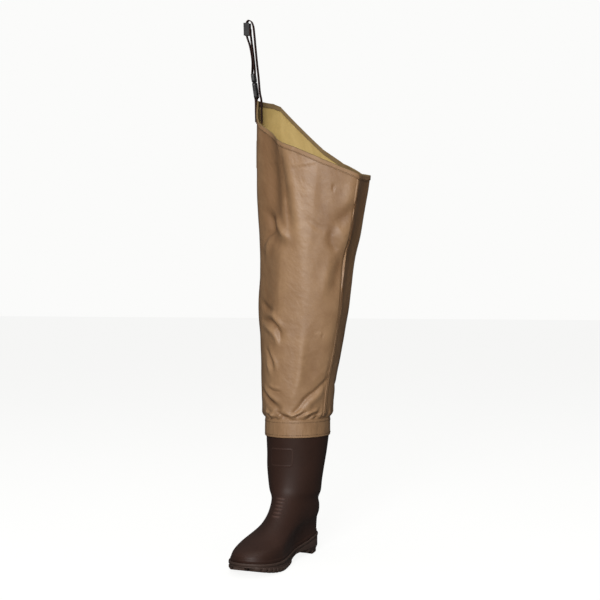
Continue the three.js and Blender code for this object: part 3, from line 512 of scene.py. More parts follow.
def rubber(name, dark, light, wear, rough, gloss):
    """Moulded rubber: dark brown, a little cloudy, with a fine matt skin, paler where raised ribs are rubbed."""
    material, tree, shader = material_base(name, rough, Specular_IOR_Level=gloss)
    place = add(tree, "ShaderNodeTexCoord").outputs["Object"]
    cloud = add(tree, "ShaderNodeTexNoise", {"Vector": place, "Scale": 18.0, "Detail": 6.0}).outputs["Fac"]
    mark = add(tree, "ShaderNodeAttribute", attribute_name="mark").outputs["Fac"]
    wear_and_fold_shading = add(tree, "ShaderNodeMix", {"Factor": mark, 6: linear("000000"), 7: linear(wear)}, data_type="RGBA")
    wear_and_fold_shading.inputs[6].default_value = linear(dark)
    tree.links.new(tinted(tree, cloud, dark, light), wear_and_fold_shading.inputs[6])
    tree.links.new(wear_and_fold_shading.outputs[2], shader.inputs["Base Color"])
    rub = add(tree, "ShaderNodeTexNoise", {"Vector": place, "Scale": 60.0, "Detail": 3.0}).outputs["Fac"]
    uneven = add(tree, "ShaderNodeMapRange", {"Value": rub, "To Min": rough - 0.07, "To Max": rough + 0.1})
    tree.links.new(uneven.outputs[0], shader.inputs["Roughness"])
    grain = add(tree, "ShaderNodeTexNoise", {"Vector": place, "Scale": 700.0, "Detail": 2.0}).outputs["Fac"]
    relief = add(tree, "ShaderNodeBump", {"Height": grain, "Strength": 0.2, "Distance": 0.0002})
    tree.links.new(relief.outputs["Normal"], shader.inputs["Normal"])
    return material


def cloth(name, dark, light, thread, rough, gloss=0.4, relief=0.25, wear_and_fold_shading=0.0):
    """Woven cloth: threads across each other, laid out in millimetres, with painted highlight on the ridges of folds
    and painted shade in their troughs, scaled by the last argument.
    """
    material, tree, shader = material_base(name, rough, Specular_IOR_Level=gloss)
    place = add(tree, "ShaderNodeUVMap", uv_map="sizes").outputs["UV"]
    cloud = add(tree, "ShaderNodeTexNoise", {"Vector": place, "Scale": 0.03, "Detail": 8.0}).outputs["Fac"]
    mark = add(tree, "ShaderNodeAttribute", attribute_name="mark").outputs["Fac"]
    # painted shade and highlight: the fold mark times its strength darkens fold troughs and lightens fold ridges, on
    # top of the cloud
    shade = add(tree, "ShaderNodeMath", {0: mark, 1: wear_and_fold_shading, 2: cloud}, operation="MULTIPLY_ADD").outputs[0]
    tree.links.new(tinted(tree, shade, dark, light), shader.inputs["Base Color"])
    parts = add(tree, "ShaderNodeSeparateXYZ", {"Vector": place}).outputs
    ribs = []
    for part, pitch in ((parts["X"], thread), (parts["Y"], thread)):
        angle = add(tree, "ShaderNodeMath", {0: part, 1: 2 * math.pi / pitch}, operation="MULTIPLY").outputs[0]
        ribs.append(add(tree, "ShaderNodeMath", {0: angle}, operation="SINE").outputs[0])
    weave = add(tree, "ShaderNodeMath", {0: ribs[0], 1: ribs[1]}, operation="MULTIPLY").outputs[0]
    bumps = add(tree, "ShaderNodeBump", {"Height": weave, "Strength": relief, "Distance": 0.0001})
    crumple = add(tree, "ShaderNodeTexNoise", {"Vector": place, "Scale": 0.09, "Detail": 2.0}).outputs["Fac"]
    soft = add(tree, "ShaderNodeBump", {"Height": crumple, "Strength": 0.26, "Distance": 0.003, "Normal": bumps.outputs[0]})
    tree.links.new(soft.outputs["Normal"], shader.inputs["Normal"])
    return material


rubber_upper = rubber("moulded_boot_rubber", "2e1d16", "402a22", "6b5148", 0.54, 0.28)
rubber_sole = rubber("moulded_sole_rubber", "3d2d26", "514038", "7a6054", 0.62, 0.35)
# the leg's nylon gets painted shade in its fold troughs and painted highlight on its fold ridges
nylon = cloth("coated_nylon", "8c6949", "ad8965", 0.5, 0.46, 0.5, relief=0.15, wear_and_fold_shading=0.2)
lining = cloth("nylon_lining", "a98c50", "cdb274", 0.5, 0.7, 0.3)
tape = cloth("binding_tape", "6f5a3c", "8a7350", 0.9, 0.85, 0.3)
hem = cloth("hem_tape", "8c6949", "ad8965", 0.9, 0.55, 0.45)
webbing = cloth("woven_webbing", "33201b", "4a2d27", 1.2, 0.75, 0.25)
felt = cloth("pressed_felt", "5e574d", "736b60", 0.8, 0.95, 0.2)
woven = cloth("woven_patch", "262221", "35302d", 0.4, 0.85, 0.25)
def plastic(name, dark, light, rough):
    """Moulded plastic: a fine sparked skin, with its gloss broken by handling marks."""
    material, tree, shader = material_base(name, rough, Specular_IOR_Level=0.4)
    place = add(tree, "ShaderNodeTexCoord").outputs["Object"]
    cloud = add(tree, "ShaderNodeTexNoise", {"Vector": place, "Scale": 90.0, "Detail": 4.0}).outputs["Fac"]
    tree.links.new(tinted(tree, cloud, dark, light), shader.inputs["Base Color"])
    rub = add(tree, "ShaderNodeMapRange", {"Value": cloud, "To Min": rough - 0.06, "To Max": rough + 0.14})
    tree.links.new(rub.outputs[0], shader.inputs["Roughness"])
    grain = add(tree, "ShaderNodeTexNoise", {"Vector": place, "Scale": 1500.0, "Detail": 2.0}).outputs["Fac"]
    relief = add(tree, "ShaderNodeBump", {"Height": grain, "Strength": 0.25, "Distance": 0.0001})
    tree.links.new(relief.outputs["Normal"], shader.inputs["Normal"])
    return material


thread = cloth("sewing_thread", "3a2819", "523d29", 0.3, 0.7, 0.3)
strap_thread = cloth("strap_sewing_thread", "17100e", "2a1c18", 0.3, 0.7, 0.3)
acetal = plastic("moulded_buckle_plastic", "1a1919", "2b2a2a", 0.34)
slider_acetal = plastic("moulded_slider_plastic", "110f0f", "1c1a1a", 0.5)

# Pieces --------------------------------------------------------------------------------------------------------------


def make_boot():
    """The rubber boot: rings up the outside, over the top edge and down the inside, with the ribs raised."""
    rand_top = RAND_HEIGHT / (FOOT_RINGS[1][1] * INSTEP_HEIGHT)
    turn = turns(240)[None, :]
    fine = np.linspace(0, LAST_LEVEL, 2000)
    front_up = BOOT["front_up"](fine)
    ribs_top = FLEX_RIB_BOTTOM + FLEX_RIBS * FLEX_RIB_PITCH
    level = np.sort(np.concatenate((
        np.linspace(0, rand_top, 7), np.linspace(rand_top, LAST_LEVEL, 100)[1:],
        np.interp(np.arange(FLEX_RIB_BOTTOM - 4, ribs_top, 0.8), front_up, fine),
        np.interp(np.arange(PANEL_BOTTOM - 3, PANEL_TOP + 3, 0.9), front_up, fine),
    )))[:, None]
    outset = RAND_STEP * (1 - smoothstep(level, rand_top * 0.86, rand_top)) + 0 * turn
    outside = boot_skin(level, turn, outset)
    side = (turn + math.pi) % (2 * math.pi) - math.pi
    wear_and_fold_shading = 0 * outset
    for k in range(FLEX_RIBS):
        at = np.interp(FLEX_RIB_BOTTOM + k * FLEX_RIB_PITCH, front_up, fine)
        thick = np.interp(FLEX_RIB_BOTTOM + k * FLEX_RIB_PITCH + 1.6, front_up, fine) - at
        reach = FLEX_RIB_LENGTH / 2 / BOOT["half"](at)
        ridge = np.clip(1 - (side / reach) ** 2, 0, 1) * bump(level - at, thick)
        outside = push(outside, FLEX_RIB_RISE * ridge)
        wear_and_fold_shading = wear_and_fold_shading + 0.45 * ridge
    height = outside[..., 2]
    edge = np.hypot(
        np.maximum(np.abs(side - PANEL_TURN) * BOOT_FRONT - PANEL_WIDTH / 2 + PANEL_ROUND, 0),
        np.maximum(np.abs(height - (PANEL_TOP + PANEL_BOTTOM) / 2) - (PANEL_TOP - PANEL_BOTTOM) / 2 + PANEL_ROUND, 0),
    ) - PANEL_ROUND
    outside = push(outside, 0.35 * (1 - smoothstep(edge, -0.6, 0.9)) + 0.5 * bump(edge, 1.1))
    wear_and_fold_shading = wear_and_fold_shading + 0.2 * bump(edge, 1.2)
    inside_level = np.linspace(LAST_LEVEL, 0, 60)[:, None]
    inside = boot_skin(inside_level, turn, np.full((60, 240), -BOOT_WALL))
    piece = Piece("boot_upper")
    marks = np.concatenate((np.clip(wear_and_fold_shading, 0, 1), np.zeros(inside.shape[:2])))
    piece.grid(np.concatenate((outside, inside)), wrap=True, close=True, marks=marks)
    piece.build([rubber_upper], ["upper"])


def make_sole():
    """The sole: its plate with a lip and a groove, the heel block, and lugs that climb its side."""
    turn = turns(280)
    piece = Piece("sole")
    lip = SOLE_LIP_HEIGHT
    profile = [
        (-1.0, plate_bottom), (-0.3, lambda x: plate_bottom(x) + 0.2), (0, lambda x: plate_bottom(x) + 0.9),
        *[(0, lambda x, s=s: mix(plate_bottom(x) + 0.9, sole_top(x) - lip - SIDE_GROOVE - 0.6, s)) for s in (0.3, 0.6, 1)],
        *[(outset, lambda x, d=d: sole_top(x) - d) for outset, d in (
            (-SIDE_GROOVE * 0.4, lip + SIDE_GROOVE), (-SIDE_GROOVE / 2, lip + 1.2), (-SIDE_GROOVE * 0.3, lip + 0.5),
            (SOLE_LIP - 0.3, lip), (SOLE_LIP, lip - 0.4), (SOLE_LIP, 1.0), (SOLE_LIP - 0.3, 0.3), (SOLE_LIP - 1, 0),
        )],
    ]
    rings = np.stack([sole_ring(turn, outset, height) for outset, height in profile])
    piece.grid(rings, wrap=True)
    piece.grid(across(rings[0], 7), flip=True)
    piece.grid(across(rings[-1], 7))
    heel, under = heel_grids()
    piece.grid(heel, wrap=True)
    piece.grid(under, flip=True)
    for points in lug_grids():
        piece.grid(points)
    piece.build([rubber_sole], ["outsole"])


def heel_grids():
    """The heel block: its side, which draws in downwards, its breast face, and its underside."""
    from_turn = math.acos(2 * HEEL_LENGTH / SOLE_LENGTH - 1)
    turn = np.linspace(from_turn, 2 * math.pi - from_turn, 140)
    heights = [(-HEEL_TAPER - 0.4, LUG_DEPTH), (-HEEL_TAPER, LUG_DEPTH + 0.4)]
    heights += [(-HEEL_TAPER * (1 - s), mix(LUG_DEPTH, ARCH_HEIGHT + 1, s)) for s in (0.35, 0.7, 1)]
    side = np.stack([sole_ring(turn, outset, lambda x, z=z: z + 0 * x) for outset, z in heights])
    side[..., 0] = np.minimum(side[..., 0], HEEL_BREAST)
    share = np.linspace(0, 1, 10)[None, 1:-1, None]
    breast = side[:, -1:] * (1 - share) + side[:, :1] * share
    half = side.shape[1] // 2
    step = np.linspace(0, 1, 9)[:, None, None]
    under = side[0, :half][None] * (1 - step) + side[0, ::-1][:half][None] * step
    return np.concatenate((side, breast), axis=1), under


def lug_grids():
    """Each lug as one grid: rows go over it from its rear side to its front, columns from its inner end outwards."""
    ring_turn = np.linspace(0, math.pi, 400)
    slope = math.tan(math.radians(12))

    def side_y(x, side, outset):
        ring = sole_ring(ring_turn * side, outset, lambda at: at * 0)
        return np.interp(x, ring[::-1, 0], ring[::-1, 1])

    def edge_lug(x_middle, width, inner, bar_middle, side, columns_):
        rows = []
        for t, root in ((0, 1), (0, 0.12), (0.06, 0), (0.35, 0), (0.65, 0), (0.94, 0), (1, 0.12), (1, 1)):
            row = []
            for share, outset, height, root_outset, root_height in columns_:
                y = inner
                x = x_middle
                for _ in range(5):
                    x = x_middle + (abs(y) - bar_middle) * slope + (t - 0.5) * width
                    edge = abs(side_y(x, side, mix(outset, root_outset, root)))
                    y = mix(min(inner, edge), edge, share)
                z = mix(height(x), root_height(x), root)
                row.append((x, side * y, z))
            rows.append(row)
        points = np.array(rows)
        return points if side > 0 else points[:, ::-1]

    lugs = []
    count = int(((TOE_FRONT - HEEL_BREAST) * 0.62) // LUG_PITCH)
    first = TOE_FRONT - 0.6 * LUG_PITCH - (count - 1) * LUG_PITCH
    low = lambda x: float(tread_height(x))
    plate = lambda x: float(plate_bottom(x)) + 0.5
    top = lambda x: float(max(plate_bottom(x), LUG_DEPTH)) + RIB_HEIGHT - LUG_DEPTH
    edge_columns = [
        (0, 0, plate, 0, plate), (0, 0, lambda x: low(x) + 0.6, 0, plate), (0.03, 0, low, 0, plate),
        (0.5, -1, low, -1, plate), (1, SIDE_RIB - LUG_TAPER, low, -1, plate),
        (1, SIDE_RIB - LUG_TAPER + 0.7, lambda x: low(x) + 0.5, -1, plate),
        (1, SIDE_RIB, lambda x: low(x) + 1.2 * LUG_TAPER, -1, plate),
        (1, SIDE_RIB, lambda x: top(x) - 0.3, -1, lambda x: top(x) - 0.3),
        (1, SIDE_RIB - 0.4, top, -1, top), (1, SIDE_RIB - 2, lambda x: top(x) + 1, -1, lambda x: top(x) + 1),
    ]
    inner = BALL_WIDTH / 6
    for k in range(count):
        x = first + k * LUG_PITCH
        for side in (-1, 1):
            if abs(side_y(x, side, 0)) > inner + 3:
                lugs.append(edge_lug(x, 0.62 * LUG_PITCH, inner, inner + BALL_WIDTH / 4, side, edge_columns))
        lugs.append(middle_lug(x + LUG_PITCH / 2, 0.72 * LUG_PITCH, inner * 0.625, low, plate))
    count = int((HEEL_LENGTH - HEEL_LUG_PITCH / 4) // HEEL_LUG_PITCH)
    first = -(count - 1) / 2 * HEEL_LUG_PITCH - HEEL_LUG_PITCH / 2
    inner = BALL_WIDTH / 8
    ground = lambda x: 0.0
    root = lambda x: LUG_DEPTH + 0.5
    inset = 1 - HEEL_TAPER
    heel_columns = [
        (0, 0, root, 0, root), (0, 0, lambda x: 0.6, 0, root), (0.03, 0, ground, 0, root),
        (0.5, -5, ground, -6, root), (1, inset - 1.5, ground, -6, root), (1, inset, lambda x: 1.8, -6, root),
        (1, inset, lambda x: 7.5, -6, lambda x: 7.5), (1, inset - 3, lambda x: 9.0, -6, lambda x: 9.0),
    ]
    for k in range(count):
        x = first + k * HEEL_LUG_PITCH
        for side in (-1, 1):
            lugs.append(edge_lug(x, 0.62 * HEEL_LUG_PITCH, inner, inner + BALL_WIDTH / 4, side, heel_columns))
        lugs.append(middle_lug(x + HEEL_LUG_PITCH / 2, 0.72 * HEEL_LUG_PITCH, inner * 0.625, ground, root))
    return lugs


def middle_lug(x_middle, width, half, low, root):
    """A block in the middle of the tread, with eased edges."""
    sides = ((-1, 1), (-1, 0.12), (-0.94, 0), (0, 0), (0.94, 0), (1, 0.12), (1, 1))
    points = []
    for a, a_root in sides:
        row = []
        for b, b_root in sides:
            x = min(x_middle + a * width / 2, TOE_FRONT - 2)
            row.append((x, b * half, mix(low(x), root(x), max(a_root, b_root))))
        points.append(row)
    return np.array(points)


def make_insole():
    """The footbed: a felt sheet fitted to the boot's inside, with a soft edge."""
    inset = -(BOOT_WALL + LOOSE_FIT)
    per_millimetre = 1 / (FOOT_RINGS[1][1] * INSTEP_HEIGHT)
    turn = turns(120)
    rings = []
    for up, outset in ((0, inset), (INSOLE_THICKNESS - 1, inset), (INSOLE_THICKNESS - 0.3, inset - 0.4), (INSOLE_THICKNESS, inset - 1)):
        rings.append(boot_skin(np.full(120, up * per_millimetre), turn, np.full(120, outset)))
    rings = np.stack(rings)
    piece = Piece("footbed")
    piece.grid(rings, wrap=True)
    piece.grid(across(rings[-1], 9))
    piece.grid(across(rings[0], 9), flip=True)
    piece.build([felt], ["insole"])


FOLDS = [  # depth and width in millimetres, crispness, and places along the fold: degrees round the leg and height
    (-3.4, 8, 0, [(343, 812), (347, 775), (350, 738), (353, 712), (356, 690), (359, 655)]),
    (2.0, 10, 0, [(353, 800), (358, 752), (3, 706), (7, 668), (8, 640)]),
    (-3.4, 26, 0, [(332, 790), (334, 730), (338, 690)]),
    (1.8, 14, 0, [(318, 800), (320, 740), (324, 700)]),
    (3.6, 7, 0, [(336, 682), (343, 663), (352, 644), (358, 634)]),
    (-4.4, 9, 0, [(320, 690), (328, 672), (331, 655), (322, 640)]),
    (2.4, 9, 0, [(330, 646), (324, 628), (320, 604)]),
    (-1.8, 12, 0, [(334, 640), (346, 628), (356, 622)]),
    (1.7, 17, 0, [(10, 775), (12, 715), (13, 660), (15, 617), (20, 563), (26, 520), (27, 480)]),
    (2.0, 10, 0, [(26, 470), (24.5, 436), (25.5, 403), (27, 371), (25, 349), (18, 318)]),
    (-1.3, 12, 0, [(27, 770), (29, 725), (31, 690)]),
    (0.9, 4, 1, [(358, 779), (10, 782), (21, 785)]),
    (-0.7, 3, 1, [(0, 773), (12, 776), (22, 779)]),
    (-1.4, 2.2, 0, [(40.5, 742), (41.5, 729)]),
    (2.2, 13, 0, [(60, 745), (61, 700), (60, 690)]),
    (-3.2, 14, 0, [(70, 705), (60, 684), (50, 660)]),
    (-2.6, 8, 0, [(46, 652), (46, 637), (50, 624), (57, 610)]),
    (1.4, 8, 0, [(54, 655), (60, 640), (64, 622)]),
    (-1.2, 6, 0, [(15, 677), (28, 660), (39, 651)]),
    (-3.6, 14, 0, [(66, 610), (64, 575), (60, 530)]),
    (1.5, 10, 0, [(50, 590), (48, 550), (46, 520)]),
    (-3.0, 6, 0, [(312, 510), (324, 500), (338, 493)]),
    (2.2, 6, 0, [(330, 486), (341, 486), (347, 474), (356, 462)]),
    (-3.6, 5, 0, [(318, 474), (331, 474), (341, 470), (348, 462), (353, 450), (354, 438)]),
    (2.8, 6, 0, [(322, 463), (333, 459), (343, 450), (350, 438), (351, 428)]),
    (-2.2, 4.5, 0, [(330, 416), (336, 404), (342, 392), (346, 378)]),
    (1.8, 5, 0, [(337, 418), (343, 404), (349, 390), (350, 376)]),
    (1.5, 5, 0, [(330, 395), (336, 380), (340, 366)]),
    (-1.5, 3.2, 1, [(338, 339), (347, 334), (358, 334)]),
    (1.2, 4, 0, [(336, 346), (347, 341), (358, 340)]),
    (-3.8, 6, 0, [(316, 332), (325, 325), (335, 315), (345, 308), (356, 301)]),
    (2.2, 6, 0, [(322, 340), (334, 330), (345, 321), (355, 313)]),
    (-2.8, 5, 0, [(73, 358), (62, 344), (54, 334), (46, 327), (38, 318), (28, 301), (18, 288)]),
    (2.0, 8, 0, [(66, 334), (56, 322), (46, 311), (36, 299)]),
    (-2.4, 18, 0, [(36, 410), (46, 380), (56, 365)]),
    (-1.2, 2, 0, [(50.5, 444), (52, 442)]),
    (0.8, 2.4, 0, [(48, 449), (49, 447)]),
    (-0.8, 2.5, 1, [(37, 457), (41, 451), (46, 455)]),
    (2.2, 3.5, 0, [(326, 293), (338, 286), (352, 282.5)]),
    (-2.6, 3, 0, [(352, 293), (2, 286), (12, 282.5)]),
    (2.4, 3, 0, [(8, 291), (18, 286), (28, 291), (36, 298)]),
    (-2.6, 2.6, 0, [(24, 284), (34, 288), (42, 294)]),
    (2.6, 3, 0, [(40, 287), (50, 292), (60, 297)]),
    (-2.0, 2.6, 0, [(50, 284), (58, 288), (66, 290)]),
    (2.0, 18, 0, [(150, 700), (152, 600), (150, 480)]),
    (-2.6, 14, 0, [(128, 690), (126, 610), (132, 540)]),
    (-2.4, 10, 0, [(196, 520), (210, 505), (226, 500)]),
    (2.2, 9, 0, [(190, 508), (206, 492), (224, 486)]),
    (-2.6, 8, 0, [(240, 640), (256, 622), (270, 615)]),
    (2.0, 9, 0, [(236, 626), (252, 606), (270, 600)]),
    (-2.2, 7, 0, [(250, 420), (262, 404), (276, 398)]),
    (-2.4, 7, 0, [(140, 400), (156, 384), (170, 380)]),
    (1.8, 8, 0, [(286, 560), (292, 500), (290, 450)]),
    (-2.6, 7, 0, [(200, 350), (214, 334), (230, 330)]),
    (-2.4, 6, 0, [(104, 352), (120, 336), (134, 330)]),
]
# Planes where the cloth is pulled straight: degrees from and to, depth, heights where it starts and is full,
# steepness at both sides, and how many degrees the far side leans for each 100 mm above the first height
FLATS = [
    (67, 112, -8.5, 340, 700, 1, 1, 0), (298, 359, -8, 610, 690, 2.2, 1.15, -8), (112, 166, -6, 360, 720, 1, 1, 0),
    (172, 236, -6, 380, 740, 1, 1, 0), (22, 66, -3.5, 560, 690, 1.25, 1.5, 0), (300, 350, -4, 430, 520, 1.5, 1.2, 0),
]
# Puckers that the cuff presses into the leg: place, lean in degrees, length, width and depth
PUCKERS = [
    (314, 6, 20, 5, -2.4), (322, 4, 18, 5, 2.6), (330, 5, 16, 4, -2.8), (338, 9, 22, 4, 2.2), (346, 9, 20, 4.5, -2.4),
    (353, 9, 18, 4, 2.0), (4, -6, 15, 5, -2.6), (12, -5, 12, 5, -1.8), (20, -3, 14, 5, 2.0), (29, -6, 17, 5, -1.6),
    (37, 7, 19, 7, 3.0), (46, 8, 16, 4, -2.6), (53, 3, 13, 4, 1.8), (60, 6, 20, 4.5, -2.6), (67, 2, 22, 5, 2.2),
    (86, 3, 20, 5, -2.4), (95, -4, 24, 5, 2.2), (106, 5, 18, 5, -2.2), (116, -3, 22, 6, 2.4), (128, 4, 17, 5, -2.4),
    (139, -4, 24, 5, 2.2), (150, 4, 19, 5, -2.4), (161, 3, 22, 6, 2.4), (173, -4, 17, 5, -2.2), (184, 4, 25, 5, 2.2),
    (196, -3, 18, 5, -2.4), (207, 5, 22, 5, 2.4), (218, 4, 19, 6, -2.2), (230, -4, 22, 5, 2.2), (241, 3, 17, 5, -2.4),
    (252, 4, 23, 5, 2.4), (263, -4, 18, 5, -2.2), (274, 3, 22, 5, 2.2), (285, 5, 18, 5, -2.4), (296, -3, 22, 5, 2.4),
    (305, 4, 17, 5, -2.0),
]


def leg_radius_at(height):
    share = np.clip((height - CUFF_TOP) / (PEAK_HEIGHT - CUFF_TOP), 0, 1)
    return mix((BOOT_FRONT + BOOT_BACK + BOOT_WIDTH) / 4, (THIGH_FRONT + THIGH_BACK + THIGH_INNER + THIGH_OUTER) / 4, share**0.8)


def fold_line(height, turn, places):
    """Distance in millimetres to a line on the leg, and how far along the line the nearest place is, from 0 to 1."""
    start = places[0][0]
    radius = leg_radius_at(height)
    side = np.radians(turn_away(turn, start)) * radius
    line = np.array([((a - start + 180) % 360 - 180, h) for a, h in places])
    line[:, 0] = np.radians(line[:, 0]) * leg_radius_at(line[:, 1])
    total = np.linalg.norm(np.diff(line, axis=0), axis=1)
    nearest = np.full(height.shape, 1e9)
    along = np.zeros(height.shape)
    for k, (a, b) in enumerate(zip(line[:-1], line[1:])):
        way = (b - a) / total[k]
        run = np.clip((side - a[0]) * way[0] + (height - a[1]) * way[1], 0, total[k])
        gap = np.hypot(side - a[0] - run * way[0], height - a[1] - run * way[1])
        closer = gap < nearest
        nearest = np.where(closer, gap, nearest)
        along = np.where(closer, (total[:k].sum() + run) / total.sum(), along)
    return nearest, along


def leg_folds(height, turn):
    """How far the leg's cloth stands out of its smooth shape: listed folds, puckers and a faint unevenness."""
    height, turn = np.broadcast_arrays(height, turn)
    total = 0.5 * ripple(4 * turn, height / 45, 11) + 0.22 * ripple(13 * turn, height / 14, 12)
    for depth, width, crisp, places in FOLDS:
        gap, along = fold_line(height, turn, places)
        shape = np.exp(-gap / width * 1.6) if crisp else bump(gap, width)
        total = total + 1.5 * depth * shape * (0.3 + 0.7 * np.sin(math.pi * along) ** 0.7)
    for start, end, depth, low, high, first, last, lean in FLATS:
        share = np.clip((np.degrees(turn) % 360 - start) / (end + lean * (height - low) / 100 - start), 0, 1)
        deepest = first / (first + last)
        shape = share**first * (1 - share) ** last / (deepest**first * (1 - deepest) ** last)
        total = total + depth * shape * smoothstep(height, low, high)
    for at, lean, length, width, depth in PUCKERS:
        foot = FOLD_HEIGHT + 1
        gap, along = fold_line(height, turn, [(at, foot), (at + lean, foot + length)])
        total = total + depth * bump(gap, width) * (1 - 0.7 * along)
    strap = bump(turn_away(turn, STRAP_ANGLE), 26) * smoothstep(height, 760, 850)
    return total * smoothstep(height, FOLD_HEIGHT - 1, FOLD_HEIGHT + 5) * (1 - strap)


def make_leg():
    """The nylon leg: tan coated cloth outside, its olive lining inside, from the cuff to the slanting collar."""
    around = 336
    turn = (math.radians(SEAM_AT) + turns(around))[None, :]
    share = np.concatenate((np.linspace(0, 0.16, 60), np.linspace(0.16, 1, 130)[1:]))[:, None]
    heights = np.concatenate((
        np.linspace(SHAFT_TUCK, FOLD_HEIGHT, 6)[:-1, None] + 0 * turn,
        np.linspace(FOLD_HEIGHT, FOLD_HEIGHT + CUFF_BULGE, 5)[:-1, None] + 0 * turn,
        leg_height(share, turn),
        collar_height(turn),
    ))
    fold = leg_folds(heights, turn)
    outside = leg_skin(heights, turn, fold)
    near = np.pad(fold, ((3, 3), (0, 0)), mode="edge")
    lowest = np.min([near[k : k + len(fold)] for k in range(7)], axis=0)
    inside = leg_skin(heights, turn, lowest - SHAFT_WALL)
    both = np.concatenate((outside, inside[::-3]))
    inner_rows = len(both) - len(outside)
    # the folds' depth as the mark that paints shade in their troughs and highlight on their ridges
    marks = np.concatenate((fold / 3, np.zeros((inner_rows, around))))
    look = np.concatenate((np.zeros(len(outside)), np.ones(inner_rows)))[:, None]
    piece = Piece("leg")
    piece.grid(both, wrap=True, look=look, marks=marks, close=True)
    return piece.build([nylon, lining], ["shaft"])


def make_cuff():
    """The band that holds the leg to the boot, with the leg's gathers pressed through it."""
    turn = turns(360)[None, :]
    outer = CLEARANCE + CUFF_WALL
    rows = [(CUFF_BOTTOM, CLEARANCE), (CUFF_BOTTOM, outer - 0.4), (CUFF_BOTTOM + 0.8, outer)]
    rows += [(mix(CUFF_BOTTOM, CUFF_TOP, s), outer) for s in np.linspace(0.06, 0.94, 16)]
    rows += [(CUFF_TOP - 0.8, outer), (CUFF_TOP, outer - 0.4), (CUFF_TOP, CLEARANCE)]
    heights = np.array([[row[0]] for row in rows]) + 0 * turn
    outset = np.array([[row[1]] for row in rows]) + 0 * turn
    middle = bump((heights - CUFF_BOTTOM) / (CUFF_TOP - CUFF_BOTTOM) - 0.5, 0.6)
    gather = middle * (0.4 * ripple(17 * turn, heights / 22, 5) + 0.14 * ripple(60 * turn, heights / 9, 6))
    band = leg_skin(heights, turn, outset + np.where(outset >= outer, gather, 0))
    piece = Piece("cuff")
    piece.grid(band, wrap=True)
    return piece.build([nylon], ["cuff_band"])


def make_binding():
    """Binding tape folded over the collar's edge, as rings round the tape's section."""
    turn = turns(360)[None, :]
    outer = CLEARANCE + BINDING_WALL
    inner = -SHAFT_WALL - CLEARANCE - BINDING_WALL
    middle = (outer + inner) / 2
    radius = (outer - inner) / 2
    section = [(-BINDING_DEPTH, CLEARANCE), (-BINDING_DEPTH, outer - 0.3), (-BINDING_DEPTH + 0.4, outer)]
    section += [(up, outer) for up in np.linspace(-BINDING_DEPTH + 2, -0.5, 5)]
    section += [(radius * math.sin(a) - 0.3, middle + radius * math.cos(a)) for a in np.linspace(0.15, math.pi - 0.15, 9)]
    section += [(up, inner) for up in np.linspace(-0.5, -BINDING_DEPTH + 2, 5)]
    section += [(-BINDING_DEPTH + 0.4, inner), (-BINDING_DEPTH, inner + 0.3), (-BINDING_DEPTH, inner + BINDING_WALL)]
    heights = np.concatenate([collar_height(turn) + up for up, _ in section])
    outset = np.concatenate([0 * turn + out for _, out in section])
    points = leg_skin(heights, turn, outset + leg_folds(heights, turn))
    edge = len(section) // 2 - 4
    piece = Piece("collar_binding_tape")
    piece.grid(points[: edge + 1], wrap=True)
    piece.grid(points[edge:], wrap=True, look=1)
    return piece.build([hem, tape], ["collar_binding"])


def leg_strip(name, share, turn_at, height_at, width, wall, steps):
    """A strip that lies on the leg: rows go up it, columns across, round its eased edges."""
    middle = turn_at(share)
    height = height_at(share, middle)
    step = 0.02
    per_radian = np.linalg.norm(leg_point(height, middle + step) - leg_point(height, middle - step), axis=-1) / (2 * step)
    side = np.concatenate(([-0.5], np.linspace(-0.5, 0.5, steps), [0.5]))
    lift = np.concatenate(([LOOSE_FIT], np.full(steps, LOOSE_FIT + wall), [LOOSE_FIT]))
    lift[1] -= 0.3
    lift[-2] -= 0.3
    turn = middle[:, None] + side[None] * width / per_radian[:, None]
    heights = height_at(share[:, None], turn)
    return leg_skin(heights, turn, lift + 0 * turn), heights, turn


def make_inner_seam():
    share = np.linspace(0.003, 0.997, 260)
    seam_turn = lambda s: np.radians(SEAM_AT + SEAM_SWING * (1 - s))
    points, heights, turn = leg_strip("felled_seam", share, seam_turn, leg_height, SEAM_WIDTH, SEAM_WALL, 9)
    points = push(points, leg_folds(heights, turn), wrap=False)
    piece = Piece("felled_seam")
    piece.grid(points)
    return piece.build([nylon], ["inner_seam"])


def make_label():
    top = PEAK_HEIGHT - LABEL_DROP
    share = np.linspace(0, 1, 60)
    place = lambda s: np.radians(STRAP_ANGLE) + 0 * s
    height = lambda s, t: top - LABEL_HEIGHT * (1 - s) + 0 * t
    points, heights, turn = leg_strip("side_patch", share, place, height, LABEL_WIDTH, LABEL_WALL, 30)
    points = push(points, leg_folds(heights, turn) - LOOSE_FIT - LABEL_WALL / 2, wrap=False)
    piece = Piece("side_patch")
    piece.grid(points[:, 2:-2])
    for side in (slice(0, 3), slice(-3, None)):
        piece.grid(points[:, side], look=1)
    return piece.build([woven, nylon], ["side_label"])


# The strap's own frame: x out of the leg, y forward along the webbing's width, z up, from the collar's peak
STRAP_TURN = np.radians(STRAP_ANGLE)
STRAP_ROOT = leg_point(np.array(float(PEAK_HEIGHT)), STRAP_TURN)
STRAP_NORMAL = leg_skin(np.array(float(PEAK_HEIGHT)), STRAP_TURN, 1.0) - STRAP_ROOT
LEG_RADIUS = ((THIGH_FRONT + THIGH_BACK) / 2) ** 2 / ((THIGH_INNER + THIGH_OUTER) / 2)
EDGE_REACH = WEBBING_WIDTH / 2 + SEWN_LENGTH / 2 * math.sin(math.radians(STRAP_LEAN))
EDGE_DIP = EDGE_REACH**2 / (2 * LEG_RADIUS)
TWIST_DIP = WEBBING_WIDTH / 2 * math.sin(math.radians(STRAP_TWIST))
LAYER = CLEARANCE + BINDING_WALL + LOOSE_FIT + WEBBING_THICKNESS / 2
INNER_SEAT = -(SHAFT_WALL + CLEARANCE + EDGE_DIP + TWIST_DIP + LAYER)
